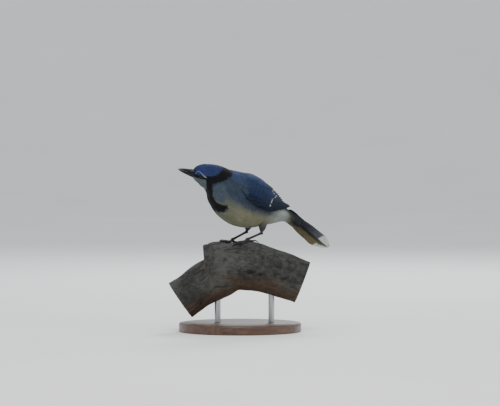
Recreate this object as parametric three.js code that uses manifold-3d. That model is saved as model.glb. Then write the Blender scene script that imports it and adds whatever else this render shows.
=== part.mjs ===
// A life-size blue jay standing on a short cut length of a thick, kneed branch, held by a display stand.
// Millimetres, +Z up. The bird's middle plane is y = 0 and it faces -X, with its head turned to its right.
// The origin is the centre of the base's underside.
import * as THREE from "three";
import { mergeVertices } from "three/addons/utils/BufferGeometryUtils.js";
import Module from "manifold-3d";

const wasm = await Module();
wasm.setup();

// Driving sizes
const GAP = 0.3; // between touching pieces
const ROOM = 0.4; // left by a cutter whose faces are coarse, so that about GAP stays
const YAW = THREE.MathUtils.degToRad(32); // from the branch's line to the bird's
const PERCH_TOP = 120; // height of the branch's top, under the feet
const BASE = { radius: 82, height: 12, chamfer: 1.5 };
const ROD = { radius: 4, socket: 12, places: [-30, 42] }; // places along the branch
const NECK = { x: -42, turn: 18, from: 5, to: 2.6 }; // the head turns about a line through the neck
const EYE = { radius: 3.9, s: 1.6, angle: -17, sunk: 2.4, lid: 0.75, lidSunk: 0.5 };
const BILL = { length: 24, rise: 18, width: 8.6, upper: 5.4, lower: 4.8, hook: 1.3, sunk: 2.2 };
const NOSTRIL = { along: 7.4, across: 3.1, high: 2.6, radius: 0.75, stretch: [1.7, 1, 0.8] };
const TAIL = { x: 84, z: 33, droop: 37, roll: -24, length: 72, pairs: 6, step: 0.9 };
const SPREAD = { near: { fan: 4, root: 1.5 }, far: { fan: 2, root: 1.2 } }; // on the tail's left and right
const VANE = 0.55; // thickness of a feather vane
const SEED = 7;

// The body's sections from the bill's base to the tail's root, measured from the branch's top.
const SECTIONS = [
  { x: -70.0, z: 92.0, half: 4.5, up: 5.0, down: 5.4 }, // bill's base
  { x: -65.2, z: 92.0, half: 8.5, up: 9.5, down: 10.4 }, // forehead
  { x: -58.2, z: 92.0, half: 11.7, up: 12.3, down: 16.2 }, // eyes
  { x: -48.6, z: 91.0, half: 14.6, up: 13.8, down: 21.0 }, // cheeks
  { x: -37.5, z: 87.5, half: 17.0, up: 15.6, down: 28.5 }, // nape
  { x: -25.0, z: 81.0, half: 21.0, up: 17.6, down: 37.0 }, // neck
  { x: -10.0, z: 73.0, half: 25.0, up: 21.8, down: 43.8 }, // shoulders
  { x: 7.0, z: 65.5, half: 27.5, up: 27.0, down: 46.0 }, // breast
  { x: 24.0, z: 58.0, half: 26.5, up: 22.6, down: 42.0 }, // belly
  { x: 41.0, z: 51.0, half: 22.0, up: 18.0, down: 33.0 }, // loin
  { x: 57.0, z: 43.5, half: 16.5, up: 13.5, down: 22.0 }, // rump
  { x: 71.0, z: 36.5, half: 12.0, up: 9.5, down: 11.0 }, // vent
  { x: 83.0, z: 29.5, half: 8.5, up: 6.0, down: 5.8 }, // tail's root
];
const FULLNESS = 0.84; // below 1 rounds the belly out
const CUT = { neck: 3.85, torso: 5.05, rump: 10.15, seam: 0.04 }; // where the nodes part, in sections
const AROUND = 28; // faces round the body

const random = (() => {
  let state = SEED;
  return () => {
    state = (state * 16807) % 2147483647;
    return state / 2147483647 - 0.5;
  };
})();

// Plain helpers
const rad = THREE.MathUtils.degToRad;
const mix = THREE.MathUtils.lerp;
const V = (x, y, z) => new THREE.Vector3(x, y, z);

// Uniform Catmull-Rom through rows of numbers.
function smooth(rows, s) {
  const last = rows.length - 1;
  const at = THREE.MathUtils.clamp(s, 0, last - 1e-9);
  const i = Math.floor(at);
  const f = at - i;
  const row = (k) => rows[THREE.MathUtils.clamp(i + k, 0, last)];
  return rows[0].map((_, c) => {
    const [a, b, d, e] = [row(-1)[c], row(0)[c], row(1)[c], row(2)[c]];
    return b + 0.5 * f * (d - a + f * (2 * a - 5 * b + 4 * d - e + f * (3 * (b - d) + e - a)));
  });
}

function turned(p, share = 1) {
  return p.sub(V(NECK.x, 0, 0)).applyAxisAngle(V(0, 0, 1), -rad(NECK.turn) * share).add(V(NECK.x, 0, 0));
}

// A point on the plumage: s counts sections, angle 0 is the left side, 90 the back and -90 the belly.
const BODY_ROWS = SECTIONS.map((c) => [c.x, c.z, c.half, c.up, c.down]);
function body(s, angle, grow = 0, share = 1) {
  const [x, z, half, up, down] = smooth(BODY_ROWS, s);
  const before = smooth(BODY_ROWS, s - 1e-3);
  const after = smooth(BODY_ROWS, s + 1e-3);
  const along = new THREE.Vector2(after[0] - before[0], after[1] - before[1]).normalize();
  const [c, n] = [Math.cos(rad(angle)), Math.sin(rad(angle))];
  const rise = ((n > 0 ? up : down) + grow) * n * share;
  const turn = 1 - THREE.MathUtils.smoothstep(s, NECK.to, NECK.from);
  const wide = (half + grow) * Math.sign(c) * Math.abs(c) ** (n > 0 ? 1 : FULLNESS) * share;
  return turned(V(x - along.y * rise, -wide, z + along.x * rise), turn);
}

// Moves every vertex of a geometry and joins those that meet.
function shaped(geometry, move) {
  geometry.deleteAttribute("normal");
  geometry.deleteAttribute("uv");
  const places = geometry.attributes.position;
  for (let i = 0; i < places.count; i++) {
    const p = move(V(places.getX(i), places.getY(i), places.getZ(i)));
    places.setXYZ(i, p.x, p.y, p.z);
  }
  return mergeVertices(geometry, 1e-4);
}

// A closed tube whose sections come from place(t, angle, share): t runs from 0 to 1, and share is 0 on its
// middle line.
function loft(place, around, steps) {
  return shaped(new THREE.CylinderGeometry(1, 1, 1, around, steps), (p) =>
    place(0.5 - p.y, THREE.MathUtils.radToDeg(Math.atan2(p.x, p.z)), Math.hypot(p.x, p.z)),
  );
}

// A thin sheet with a regular grid on its two faces: place(u, v, face) with u from 0 to 1, v from -1 to 1.
function sheet(place, rows, columns) {
  const places = [];
  const faces = [];
  const id = (face, i, j) => (face * (rows + 1) + i) * (columns + 1) + j;
  for (const face of [0, 1])
    for (let i = 0; i <= rows; i++)
      for (let j = 0; j <= columns; j++)
        places.push(...place(i / rows, (2 * j) / columns - 1, face));
  const quad = (a, b, c, d) => faces.push(a, b, c, a, c, d);
  for (let i = 0; i < rows; i++)
    for (let j = 0; j < columns; j++) {
      const [a, b, c, d] = [[i, j], [i, j + 1], [i + 1, j + 1], [i + 1, j]];
      quad(id(1, ...a), id(1, ...b), id(1, ...c), id(1, ...d));
      faces.push(id(0, ...a), id(0, ...c), id(0, ...b), id(0, ...a), id(0, ...d), id(0, ...c));
    }
  for (let i = 0; i < rows; i++) {
    quad(id(0, i, 0), id(1, i, 0), id(1, i + 1, 0), id(0, i + 1, 0));
    quad(id(1, i, columns), id(0, i, columns), id(0, i + 1, columns), id(1, i + 1, columns));
  }
  for (let j = 0; j < columns; j++) {
    quad(id(1, 0, j), id(0, 0, j), id(0, 0, j + 1), id(1, 0, j + 1));
    quad(id(0, rows, j), id(1, rows, j), id(1, rows, j + 1), id(0, rows, j + 1));
  }
  const made = new THREE.BufferGeometry();
  made.setAttribute("position", new THREE.Float32BufferAttribute(places.flat(), 3));
  made.setIndex(faces);
  return made;
}

// Solids for joining and cutting
function solid(geometry) {
  geometry.deleteAttribute("normal");
  geometry.deleteAttribute("uv");
  const g = mergeVertices(geometry, 1e-4);
  const vertProperties = new Float32Array(g.attributes.position.array);
  const triVerts = new Uint32Array(g.index.array);
  const make = () => new wasm.Manifold(new wasm.Mesh({ numProp: 3, vertProperties, triVerts }));
  const made = make();
  if (made.volume() >= 0) return made;
  for (let i = 0; i < triVerts.length; i += 3)
    [triVerts[i + 1], triVerts[i + 2]] = [triVerts[i + 2], triVerts[i + 1]];
  return make();
}
const joined = (solids) => solids.reduce((all, one) => all.add(one));
const largest = (made) => made.decompose().reduce((a, b) => (a.volume() > b.volume() ? a : b));
const moved = (made, p) => made.translate([p.x, p.y, p.z]);

function mesh(name, made, material) {
  const data = largest(made).getMesh();
  const places = new Float32Array(data.numVert * 3);
  for (let i = 0; i < data.numVert; i++)
    places.set(data.vertProperties.subarray(i * data.numProp, i * data.numProp + 3), i * 3);
  const geometry = new THREE.BufferGeometry();
  geometry.setAttribute("position", new THREE.BufferAttribute(places, 3));
  geometry.setIndex(new THREE.BufferAttribute(new Uint32Array(data.triVerts), 1));
  geometry.computeVertexNormals();
  const one = new THREE.Mesh(geometry, material);
  one.name = name;
  return one;
}

const finish = (color, roughness, metalness = 0) =>
  new THREE.MeshStandardMaterial({ color, roughness, metalness });
const FINISHES = {
  crown: finish(0x34487f, 0.8),
  collar: finish(0x14161c, 0.85),
  body: finish(0x8f9196, 0.9),
  wing: finish(0x3c5c9c, 0.7),
  tail: finish(0x3a5590, 0.7),
  vent: finish(0xd8d9d6, 0.9),
  horn: finish(0x1c1b1d, 0.4),
  eye: finish(0x120c08, 0.1),
  bark: finish(0x6d665d, 0.95),
  wood: finish(0x3a2a1e, 0.5),
  steel: finish(0x9a9da1, 0.35, 1),
};

// The branch lies in the plane of the view: along runs right in it, up is height and deep is its far side.
const branchPoint = (along, deep, up) =>
  V(
    along * Math.cos(YAW) + deep * Math.sin(YAW),
    -along * Math.sin(YAW) + deep * Math.cos(YAW),
    up,
  );

// Branch: two arms that meet at a knee, the right one running on to a sawn stub. Each row of numbers is a
// place along the branch, the height of its middle line and its radius.
const RIGHT_ARM = [
  [84, -54, 29.5], [62, -45.5, 30], [38, -38, 31], [13.4, -33, 32.4],
  [-12, -31.4, 32], [-32, -31.5, 31.5], [-47, -33, 29],
];
const LEFT_ARM = [
  [2, -34, 24], [-22, -43, 29], [-46.9, -55.5, 28.4], [-64, -67, 27.5], [-80, -78, 27.5],
];
const BUMPS = [[3, 2.1, 0.7], [5, -1.7, 0.5], [2, 3.3, 0.6]]; // lobes round it, drift along it and size
function armSolid(rows, twist) {
  const tube = loft(
    (t, angle, share) => {
      const s = t * (rows.length - 1);
      const [along, up, radius] = smooth(rows, s);
      const before = smooth(rows, s - 1e-3);
      const after = smooth(rows, s + 1e-3);
      const line = new THREE.Vector2(after[0] - before[0], after[1] - before[1]).normalize();
      const a = rad(angle);
      const bumps = BUMPS.map(([lobes, drift, size]) => size * Math.sin(lobes * (a + twist) + drift * s));
      const calm = Math.sin(a) > 0.6 ? 0.35 : 1; // the top is calmer, where the feet stand
      const r = (radius + calm * bumps.reduce((sum, bump) => sum + bump)) * share;
      return branchPoint(along - line.y * r * Math.sin(a), r * Math.cos(a), up + line.x * r * Math.sin(a));
    },
    18,
    rows.length + 4,
  );
  return solid(tube);
}
const branchSolid = () => armSolid(RIGHT_ARM, 0.4).add(armSolid(LEFT_ARM, 2.2));

function rodSolid(place, grow, bottom, top) {
  const rod = new THREE.CylinderGeometry(ROD.radius + grow, ROD.radius + grow, top - bottom, 18);
  rod.rotateX(Math.PI / 2);
  const foot = branchPoint(place, 0, (top + bottom) / 2);
  rod.translate(foot.x, foot.y, foot.z);
  return solid(rod);
}

// The branch's top over a place on the ground, and its underside over a place along it
const bark = mesh("bark", branchSolid(), FINISHES.bark);
const barkHeight = (from, way) => new THREE.Raycaster(from, V(0, 0, way)).intersectObject(bark)[0].point.z;
const topAt = (x, y) => barkHeight(V(x, y, PERCH_TOP), -1);
const undersideAt = (place) => barkHeight(branchPoint(place, 0, -PERCH_TOP), 1);

// Feather vanes laid on the plumage
function drape(surface, from, to) {
  const line = (u) => [mix(from[0], to[0], u), mix(from[1], to[1], u)];
  return (u, across, height, mirror) => {
    const [s, w] = line(u);
    const here = surface(s, w, height);
    const dS = surface(s + 0.01, w, height).sub(here).multiplyScalar(100);
    const dW = surface(s, w + 0.1, height).sub(here).multiplyScalar(10);
    const out = dS.clone().cross(dW).normalize();
    const along = surface(...line(u + 0.01), height)
      .sub(surface(...line(u - 0.01), height))
      .normalize();
    const side = out.clone().cross(along).multiplyScalar(across);
    const [ss, sw, ww] = [dS.dot(dS), dS.dot(dW), dW.dot(dW)];
    const [ps, pw] = [side.dot(dS), side.dot(dW)];
    const size = ss * ww - sw * sw;
    const point = surface(s + (ps * ww - pw * sw) / size, w + (pw * ss - ps * sw) / size, height);
    if (mirror) point.y = -point.y;
    return point;
  };
}

// Half width along a feather, as a share of its widest: narrow root, even middle, round tip.
const BLADE = (u) =>
  0.5 + 0.5 * Math.sin(Math.min(1, u * 2.2) * Math.PI * 0.5) - 0.74 * Math.max(0, (u - 0.8) / 0.2) ** 2;

// One vane: height(u) is over the plumage, and tilt raises its lower edge, so that vanes lie like shingles.
function feather({ surface = body, from, to, half, height, tilt = 0, rows = 3, columns = 1, mirror }) {
  const place = drape(surface, from, to);
  return solid(
    sheet(
      (u, v, face) => {
        const lift = height(u) - tilt * v * Math.min(1, 3 * u) + (face - 0.5) * VANE;
        return place(u, v * half * BLADE(u), lift, mirror).toArray();
      },
      rows,
      columns,
    ),
  );
}

// Head, neck, torso and rump
const PARTS = {
  head: { from: 0, to: CUT.neck, steps: 12 },
  neck: { from: CUT.neck, to: CUT.torso, steps: 5 },
  torso: { from: CUT.torso, to: CUT.rump, steps: 14 },
  rump: { from: CUT.rump, to: 12, steps: 6 },
};
function bodyPart({ from, to, steps }, grow = 0) {
  // Each node starts a little after the one before it, to leave the gap.
  const start = from && !grow ? from + CUT.seam : from;
  return solid(
    loft((t, angle, share) => body(mix(start, to, t), angle + 90, grow, share), AROUND, steps),
  );
}

// Mirrors a point of the head to its right side: side is 1 for the left, -1 for the right.
const headPoint = (s, angle, grow, side) => body(s, side > 0 ? angle : 180 - angle, grow);
const eyePlace = (side) => headPoint(EYE.s, EYE.angle, -EYE.sunk, side);
const eyeSolid = (side, grow) =>
  moved(solid(new THREE.SphereGeometry(EYE.radius + grow, 12, 9)), eyePlace(side));

function lidSolid(side) {
  // The lids: a ring round the eye, lying on the cheek.
  const ring = new THREE.TorusGeometry(EYE.radius, EYE.lid, 5, 14);
  const foot = headPoint(EYE.s, EYE.angle, 0, side);
  const out = headPoint(EYE.s, EYE.angle, 1, side).sub(foot).normalize();
  ring.applyQuaternion(new THREE.Quaternion().setFromUnitVectors(V(0, 0, 1), out));
  return moved(solid(ring), foot.addScaledVector(out, -EYE.lidSunk));
}

// Narrow feathers of the laid crest, in tiers from the crown to the nape
const CREST_HEIGHT = { root: -1.1, tip: 1.4 };
const CREST = [
  { s: 1.75, reach: 1.0, angles: [90, 62, 118], half: 3.0 },
  { s: 2.35, reach: 1.05, angles: [76, 104, 46, 134], half: 3.3 },
  { s: 2.95, reach: 0.85, angles: [90, 62, 118], half: 3.6 },
];
const crestFeathers = () =>
  CREST.flatMap(({ s, reach, angles, half }) =>
    angles.map((angle) =>
      feather({
        from: [s, angle],
        to: [s + reach * (1 + 0.1 * random()), 90 + (angle - 90) * 0.78],
        half: half * (1 + 0.15 * random()),
        height: (u) => mix(CREST_HEIGHT.root, CREST_HEIGHT.tip, Math.min(1, 2 * u)),
        rows: 2,
      }),
    ),
  );

// Bill: a wedge with a curved ridge above and a straight keel below
const billWay = V(-Math.cos(rad(BILL.rise)), 0, Math.sin(rad(BILL.rise)));
const billUp = V(Math.sin(rad(BILL.rise)), 0, Math.cos(rad(BILL.rise)));
const BILL_ROOT = V(SECTIONS[0].x + BILL.sunk, 0, SECTIONS[0].z - 0.6);
const billPoint = (along, across, high) =>
  turned(V(0, across, 0).add(BILL_ROOT).addScaledVector(billWay, along).addScaledVector(billUp, high));
function mandible(upper, grow = 0) {
  const depth = upper ? BILL.upper : BILL.lower;
  const reach = BILL.length - (upper ? 0 : 2);
  return solid(
    loft(
      (t, angle, share) => {
        const a = rad(angle);
        const on = mix(-3 * grow, reach + grow, t);
        const q = THREE.MathUtils.clamp(on / reach, 0, 1);
        const taper = Math.sqrt(1 - q ** 1.8) * (1 - 0.25 * q);
        const high = Math.abs(Math.sin(a)) * (depth * taper + 2 * grow) * share;
        const wide = Math.cos(a) * ((BILL.width / 2) * taper * (1 - 0.2 * q) + grow) * share;
        const above = upper ? Math.sin(a) > 0 : Math.sin(a) < 0;
        const lift = (above ? high : 0) * (upper ? 1 : -1);
        const hook = -BILL.hook * (on / BILL.length) ** 4;
        const part = (upper ? 1 : -1) * (GAP / 2 - grow);
        return billPoint(on, wide, lift + hook + part);
      },
      12,
      7,
    ),
  );
}
function nostril(side) {
  const pit = new THREE.SphereGeometry(NOSTRIL.radius, 8, 6);
  pit.scale(...NOSTRIL.stretch);
  return moved(solid(pit), billPoint(NOSTRIL.along, side * NOSTRIL.across, NOSTRIL.high));
}
// Nasal tufts that lie forward over the bill's base, an inner and an outer one a side
const BRISTLES = [
  { start: -2, length: 8.5, across: 1.2, half: 1.2, high: 6.0, drop: 1.0 },
  { start: -2, length: 7.3, across: 2.9, half: 1.2, high: 5.2, drop: 1.0 },
];
const bristles = () =>
  [-1, 1].flatMap((side) =>
    BRISTLES.map(({ start, length, across, half, high, drop }) =>
      solid(
        sheet(
          (u, v, face) => {
            const wide = half * (1 - 0.75 * u) * v;
            const lift = high - drop * u + (face - 0.5) * VANE;
            return billPoint(start + u * length, side * across + wide, lift).toArray();
          },
          2,
          2,
        ),
      ),
    ),
  );

// Wing. Its places are [section, millimetres above the closed wing's lower edge].
// The lower edge runs level along the flank and climbs towards both ends.
const EDGE = { level: -20, back: [8.6, 2.5, 75], front: [6.4, -1.2, 18] };
function edgeAngle(s) {
  const climb = ([from, over, rise], power) => rise * Math.max(0, (s - from) / over) ** power;
  return EDGE.level + climb(EDGE.back, 2.2) + climb(EDGE.front, 1.5);
}
function wingSurface(s, w, height) {
  const [, , half, up] = smooth(BODY_ROWS, s);
  return body(s, edgeAngle(s) + THREE.MathUtils.radToDeg(w / ((half + up) / 2)), height);
}
// One tier a row: where the roots and tips lie, and how high and how soon the vanes rise over the plumage,
// from low to high. Each vane tucks under the one above it.
const PRIMARY_TIPS = [[9.2, 1.4], [10.0, 2.0], [10.55, 2.8], [10.9, 4.0], [10.7, 6.4]];
const TIERS = {
  primaries: {
    count: 5, half: 3.2, tilt: 0.7, rows: 4, columns: 2, low: 1.65, rise: 0.3,
    root: (i) => [6.3, 3 + 2.4 * i],
    tip: (i) => PRIMARY_TIPS[i],
    high: (i) => 1.75 + 0.3 * i,
  },
  secondaries: {
    count: 5, half: 5.3, tilt: 1.05, rows: 3, columns: 2, low: 1.9, rise: 0.4,
    root: (i) => [6.5, 6 + 5 * i],
    tip: (i) => [9.3 + 0.06 * i + 0.06 * random(), 6.2 + 5 * i],
    high: (i) => 4.0 - 0.34 * i,
  },
  tertials: {
    count: 3, half: 5.6, tilt: 1.3, rows: 3, columns: 2, low: 1.9, rise: 0.4,
    root: (i) => [6.7, 27 + 4 * i],
    tip: (i) => [9.05 + 0.3 * (i % 2), 29 + 3.3 * i],
    high: (i) => 3.1 - 0.1 * i,
  },
  greater_coverts: {
    count: 5, half: 4.9, tilt: 1.0, rows: 3, columns: 1, low: 1.9, rise: 0.9,
    root: (i) => [6.05, 4 + 5 * i],
    tip: (i) => [7.7 + 0.03 * i + 0.06 * random(), 3.5 + 5.3 * i],
    high: (i) => 5.9 - 0.36 * i,
  },
  median_coverts: {
    count: 5, half: 4.6, tilt: 0.9, rows: 2, columns: 1, low: 1.6, rise: 1,
    root: (i) => [5.5, 6 + 5 * i],
    tip: (i) => [6.8 + 0.04 * i + 0.05 * random(), 4.5 + 6 * i],
    high: (i) => 5.6 - 0.3 * i,
  },
  scapulars: {
    count: 3, half: 5.4, tilt: 1.0, rows: 3, columns: 1, low: 1.6, rise: 0.7,
    root: (i) => [6.0 + 0.2 * i, 28 + 3.6 * i],
    tip: (i) => [8.0 + 0.25 * i, 29 + 4.4 * i],
    high: (i) => 5.0 - 0.2 * i,
  },
};
const PAD = { from: [5.25, 13], to: [7.4, 20], half: 16, lift: 0.6, rim: 0.3, thick: 2.8 };
function wingSolid(mirror) {
  const pad = drape(wingSurface, PAD.from, PAD.to);
  const parts = [
    solid(
      sheet(
        (u, v, face) => {
          const round = Math.sin(Math.PI * mix(0.14, 0.86, u));
          const lift = PAD.lift + face * (PAD.rim + PAD.thick * (1 - v ** 4) * round ** 0.6);
          return pad(u, v * PAD.half * round ** 0.8, lift, mirror).toArray();
        },
        7,
        6,
      ),
    ),
  ];
  for (const { count, root, tip, low, high, rise, ...rest } of Object.values(TIERS))
    for (let i = 0; i < count; i++) {
      const height = (u) => low + (high(i) - low) * Math.min(1, u / rise) ** 0.8;
      parts.push(
        feather({ surface: wingSurface, from: root(i), to: tip(i), height, mirror, ...rest }),
      );
    }
  return joined(parts);
}

// Tail: twelve feathers in a nearly closed fan, the middle pair on top
const tailWay = V(Math.cos(rad(TAIL.droop)), 0, -Math.sin(rad(TAIL.droop)));
const tailSide = V(0, 1, 0).applyAxisAngle(tailWay, rad(TAIL.roll));
const tailUp = tailWay.clone().cross(tailSide);
const tailPoint = (along, across, up) =>
  V(TAIL.x, 0, TAIL.z)
    .addScaledVector(tailWay, along)
    .addScaledVector(tailSide, across)
    .addScaledVector(tailUp, up);

// The fan's plane is arched a little: its edges hang lower than its middle.
const ARCH = { drop: 0.4, across: 25 };
function fanFeather({ fan, start, length, half, height, columns = 1, root, grow = 0 }) {
  // fan is the angle from the tail's middle line, and height(u) is over the tail's plane.
  const [c, n] = [Math.cos(rad(fan)), Math.sin(rad(fan))];
  return solid(
    sheet(
      (u, v, face) => {
        const along = start + u * length;
        const wide = (half * BLADE(u) + grow) * v;
        const across = root + along * n + wide * c;
        return tailPoint(
          along * c - wide * n,
          across,
          height(u) - ARCH.drop * (across / ARCH.across) ** 2 + (face - 0.5) * (VANE + 2 * grow),
        ).toArray();
      },
      3,
      columns,
    ),
  );
}
// The fleshy root that the feathers grow from
const STUB = { from: 0.5, to: 15, half: [7.4, 6.4], thick: [4.4, 3.2], sunk: 1.6 };
function tailSolid() {
  const stub = loft(
    (t, angle, share) =>
      tailPoint(
        mix(STUB.from, STUB.to, t),
        mix(...STUB.half, t) * Math.cos(rad(angle)) * share,
        mix(...STUB.thick, t) * Math.sin(rad(angle)) * share - STUB.sunk,
      ),
    16,
    2,
  );
  const vanes = [];
  for (const side of [-1, 1])
    for (let i = 0; i < TAIL.pairs; i++) {
      const { fan, root } = side < 0 ? SPREAD.near : SPREAD.far;
      vanes.push(
        fanFeather({
          fan: (side * fan * (i + 0.45)) / TAIL.pairs,
          root: side * root * i,
          start: 3,
          length: TAIL.length - 3 - 1.5 * i - 0.22 * i * i,
          half: 7.8 - 0.2 * i,
          height: () => TAIL.step * (side > 0 ? 0.5 - i : 1 - i),
          columns: 2,
        }),
      );
    }
  return joined([solid(stub), ...vanes]);
}
// Coverts that lie over and under the tail's root, on the rump
function tailCoverts(grow) {
  const above = [-1, 0, 1].map((i) =>
    fanFeather({
      fan: 6 * i,
      root: 3.5 * i,
      start: -9,
      length: 31 - 3.5 * Math.abs(i) + grow,
      half: 5.8,
      height: (u) => 2.2 - 0.9 * Math.abs(i) - 0.3 * u,
      grow,
    }),
  );
  const below = [-2, -1, 0, 1, 2].map((i) =>
    fanFeather({
      fan: 3 * i,
      root: 3.3 * i + 0.8,
      start: -13,
      length: 29 - 2.5 * Math.abs(i) + grow,
      half: 5.4,
      height: (u) => -9.2 + 0.75 * Math.abs(i) + 2.4 * u * u,
      grow,
    }),
  );
  return [...above, ...below];
}

// Legs: a feathered thigh, a bare shank and a foot of three toes forward and one back
const LEGS = {
  left: { heel: V(25.5, -12.5, 11.5), foot: V(3.5, -11.5), hip: V(31, -12, 31), turn: -3 },
  right: { heel: V(17.5, 12.5, 12.5), foot: V(-5, 12), hip: V(23, 12, 32), turn: 4 },
};
const TOES = [
  // The way that each points, from straight ahead, and its length and its claw's
  { way: 0, length: 15.5, claw: 7 },
  { way: 24, length: 11, claw: 6 },
  { way: -24, length: 12, claw: 6 },
  { way: 178, length: 9.5, claw: 8.5 },
];
const TOE = { start: 0.6, thick: 1.55, radii: [1.7, 1.55, 1.5, 1.35, 1.25], web: 1.4 };
const ANKLE = { high: 3.6, ball: 2.5, sunk: 0.6 };
const CLAW = { start: 0.6, radii: [1.1, 0.8, 0.22], arch: 0.55, tip: 0.85 };
const SHANK = { radius: 1.45, ends: 0.9, scutes: 7, scute: 0.22, up: 2 };
const THIGH = { radii: [8.2, 5, 2.3], knee: V(1, 0, -0.5), end: V(0.6, 0, 0.9) };
function rope(points, radii, around, steps) {
  const rows = points.map((p, i) => [p.x, p.y, p.z, radii[i]]);
  const last = rows.length - 1;
  return loft(
    (t, angle, share) => {
      const s = t * last;
      const [x, y, z, r] = smooth(rows, s);
      const [b, a] = [smooth(rows, s - 1e-2), smooth(rows, s + 1e-2)];
      const way = V(a[0] - b[0], a[1] - b[1], a[2] - b[2]).normalize();
      const side = way.clone().cross(V(0.01, 0.02, 1)).normalize();
      const up = side.clone().cross(way);
      return V(x, y, z)
        .addScaledVector(side, Math.cos(rad(angle)) * r * share)
        .addScaledVector(up, Math.sin(rad(angle)) * r * share);
    },
    around,
    steps,
  );
}
// A point that far along a toe's line and that high over the bark
function onToe(leg, toe, along, lift) {
  const way = rad(180 + leg.turn + toe.way);
  const [x, y] = [leg.foot.x + Math.cos(way) * along, leg.foot.y + Math.sin(way) * along];
  return V(x, y, topAt(x, y) + lift);
}
const TOE_LIFT = TOE.thick + ROOM;
const ankleOf = (leg) => V(leg.foot.x, leg.foot.y, topAt(leg.foot.x, leg.foot.y) + ANKLE.high);
function toeSolid(leg, toe, grow) {
  const last = TOE.radii.length - 1;
  const points = TOE.radii.map((_, i) =>
    onToe(leg, toe, TOE.start + (toe.length * i) / last, TOE_LIFT + (i ? 0 : TOE.web)),
  );
  return solid(rope(points, TOE.radii.map((r) => r + grow), 6, last));
}
function footSolid(leg, grow = 0) {
  const { x, y, z } = ankleOf(leg);
  const ball = new THREE.SphereGeometry(ANKLE.ball + grow, 8, 6).translate(x, y, z - ANKLE.sunk);
  return joined([solid(ball), ...TOES.map((toe) => toeSolid(leg, toe, grow))]);
}
function clawSolid(leg, toe) {
  const start = TOE.start + toe.length + CLAW.start;
  const points = [
    onToe(leg, toe, start, TOE_LIFT),
    onToe(leg, toe, start + toe.claw * 0.4, TOE_LIFT + CLAW.arch),
    onToe(leg, toe, start + toe.claw * 0.85, CLAW.tip),
  ];
  return solid(rope(points, CLAW.radii, 5, 3));
}
function shankSolid(leg) {
  // Raised scutes run down the bare shank, which is thicker at both ends.
  const ankle = ankleOf(leg);
  const way = ankle.clone().sub(leg.heel).normalize();
  const top = leg.heel.clone().addScaledVector(way, -SHANK.up);
  const side = V(0, 1, 0);
  const front = side.clone().cross(way);
  const tube = loft(
    (t, angle, share) => {
      const scute = SHANK.scute * Math.abs(Math.sin(Math.PI * SHANK.scutes * t));
      const r = (SHANK.radius + SHANK.ends * (2 * Math.abs(t - 0.5)) ** 4 + scute) * share;
      return top
        .clone()
        .lerp(ankle, t)
        .addScaledVector(side, Math.cos(rad(angle)) * r * 0.85)
        .addScaledVector(front, Math.sin(rad(angle)) * r * 1.1);
    },
    6,
    2 * SHANK.scutes + 1,
  );
  return solid(tube);
}
function thighSolid(leg, grow = 0) {
  const points = [
    leg.hip,
    leg.hip.clone().lerp(leg.heel, 0.45).add(THIGH.knee),
    leg.heel.clone().add(THIGH.end).add(V(-grow / 2, 0, -grow)),
  ];
  return solid(rope(points, THIGH.radii.map((r) => r + grow), 12, 7));
}

// The whole model
const model = new THREE.Group();
const raised = new THREE.Group();
raised.position.z = PERCH_TOP;
model.add(raised);

const headForms = [lidSolid(1), lidSolid(-1), ...crestFeathers(), ...bristles()];
const headCutters = [mandible(true, ROOM), mandible(false, ROOM), eyeSolid(1, ROOM), eyeSolid(-1, ROOM)];
const headSolid = joined([bodyPart(PARTS.head), ...headForms]).subtract(joined(headCutters));
const plumage = joined(Object.values(PARTS).map((part) => bodyPart(part, ROOM)));
const tailCutters = joined([plumage, ...tailCoverts(ROOM)]);

raised.add(mesh("head", headSolid, FINISHES.crown));
raised.add(mesh("neck", bodyPart(PARTS.neck), FINISHES.collar));
raised.add(mesh("torso", bodyPart(PARTS.torso), FINISHES.body));
raised.add(mesh("rump", joined([bodyPart(PARTS.rump), ...tailCoverts(0)]), FINISHES.vent));
raised.add(mesh("bill_upper", mandible(true).subtract(nostril(1)).subtract(nostril(-1)), FINISHES.horn));
raised.add(mesh("bill_lower", mandible(false), FINISHES.horn));
raised.add(mesh("eye_left", eyeSolid(1, 0), FINISHES.eye));
raised.add(mesh("eye_right", eyeSolid(-1, 0), FINISHES.eye));
raised.add(mesh("tail", tailSolid().subtract(tailCutters), FINISHES.tail));
raised.add(mesh("wing_left", wingSolid(false), FINISHES.wing));
raised.add(mesh("wing_right", wingSolid(true), FINISHES.wing));

for (const [name, leg] of Object.entries(LEGS)) {
  const ends = thighSolid(leg, ROOM).add(footSolid(leg, ROOM));
  raised.add(mesh(`thigh_${name}`, thighSolid(leg).subtract(plumage), FINISHES.body));
  raised.add(mesh(`shank_${name}`, shankSolid(leg).subtract(ends), FINISHES.horn));
  raised.add(mesh(`foot_${name}`, footSolid(leg), FINISHES.horn));
  TOES.forEach((toe, i) => raised.add(mesh(`claw_${name}_${i + 1}`, clawSolid(leg, toe), FINISHES.horn)));
}

// Perch and stand
const bottom = BASE.height + GAP - PERCH_TOP;
let perch = branchSolid();
ROD.places.forEach((place, i) => {
  const top = undersideAt(place) + ROD.socket;
  perch = perch.subtract(rodSolid(place, GAP, bottom, top));
  raised.add(mesh(`stand_rod_${i + 1}`, rodSolid(place, 0, bottom, top - GAP), FINISHES.steel));
});
raised.add(mesh("perch", perch, FINISHES.bark));

const { radius, height, chamfer } = BASE;
const outline = [
  [0, 0], [radius - chamfer, 0], [radius, chamfer],
  [radius, height - chamfer], [radius - chamfer, height], [0, height],
].map(([r, h]) => new THREE.Vector2(r, h));
const disc = new THREE.LatheGeometry(outline, 32).rotateX(Math.PI / 2);
model.add(mesh("stand_base", solid(disc), FINISHES.wood));

export default model;
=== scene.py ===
"""Dresses the blue jay on its cut branch: skin, plumage, bill, eyes, feet, bark and display stand."""
import math
from functools import partial

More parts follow.
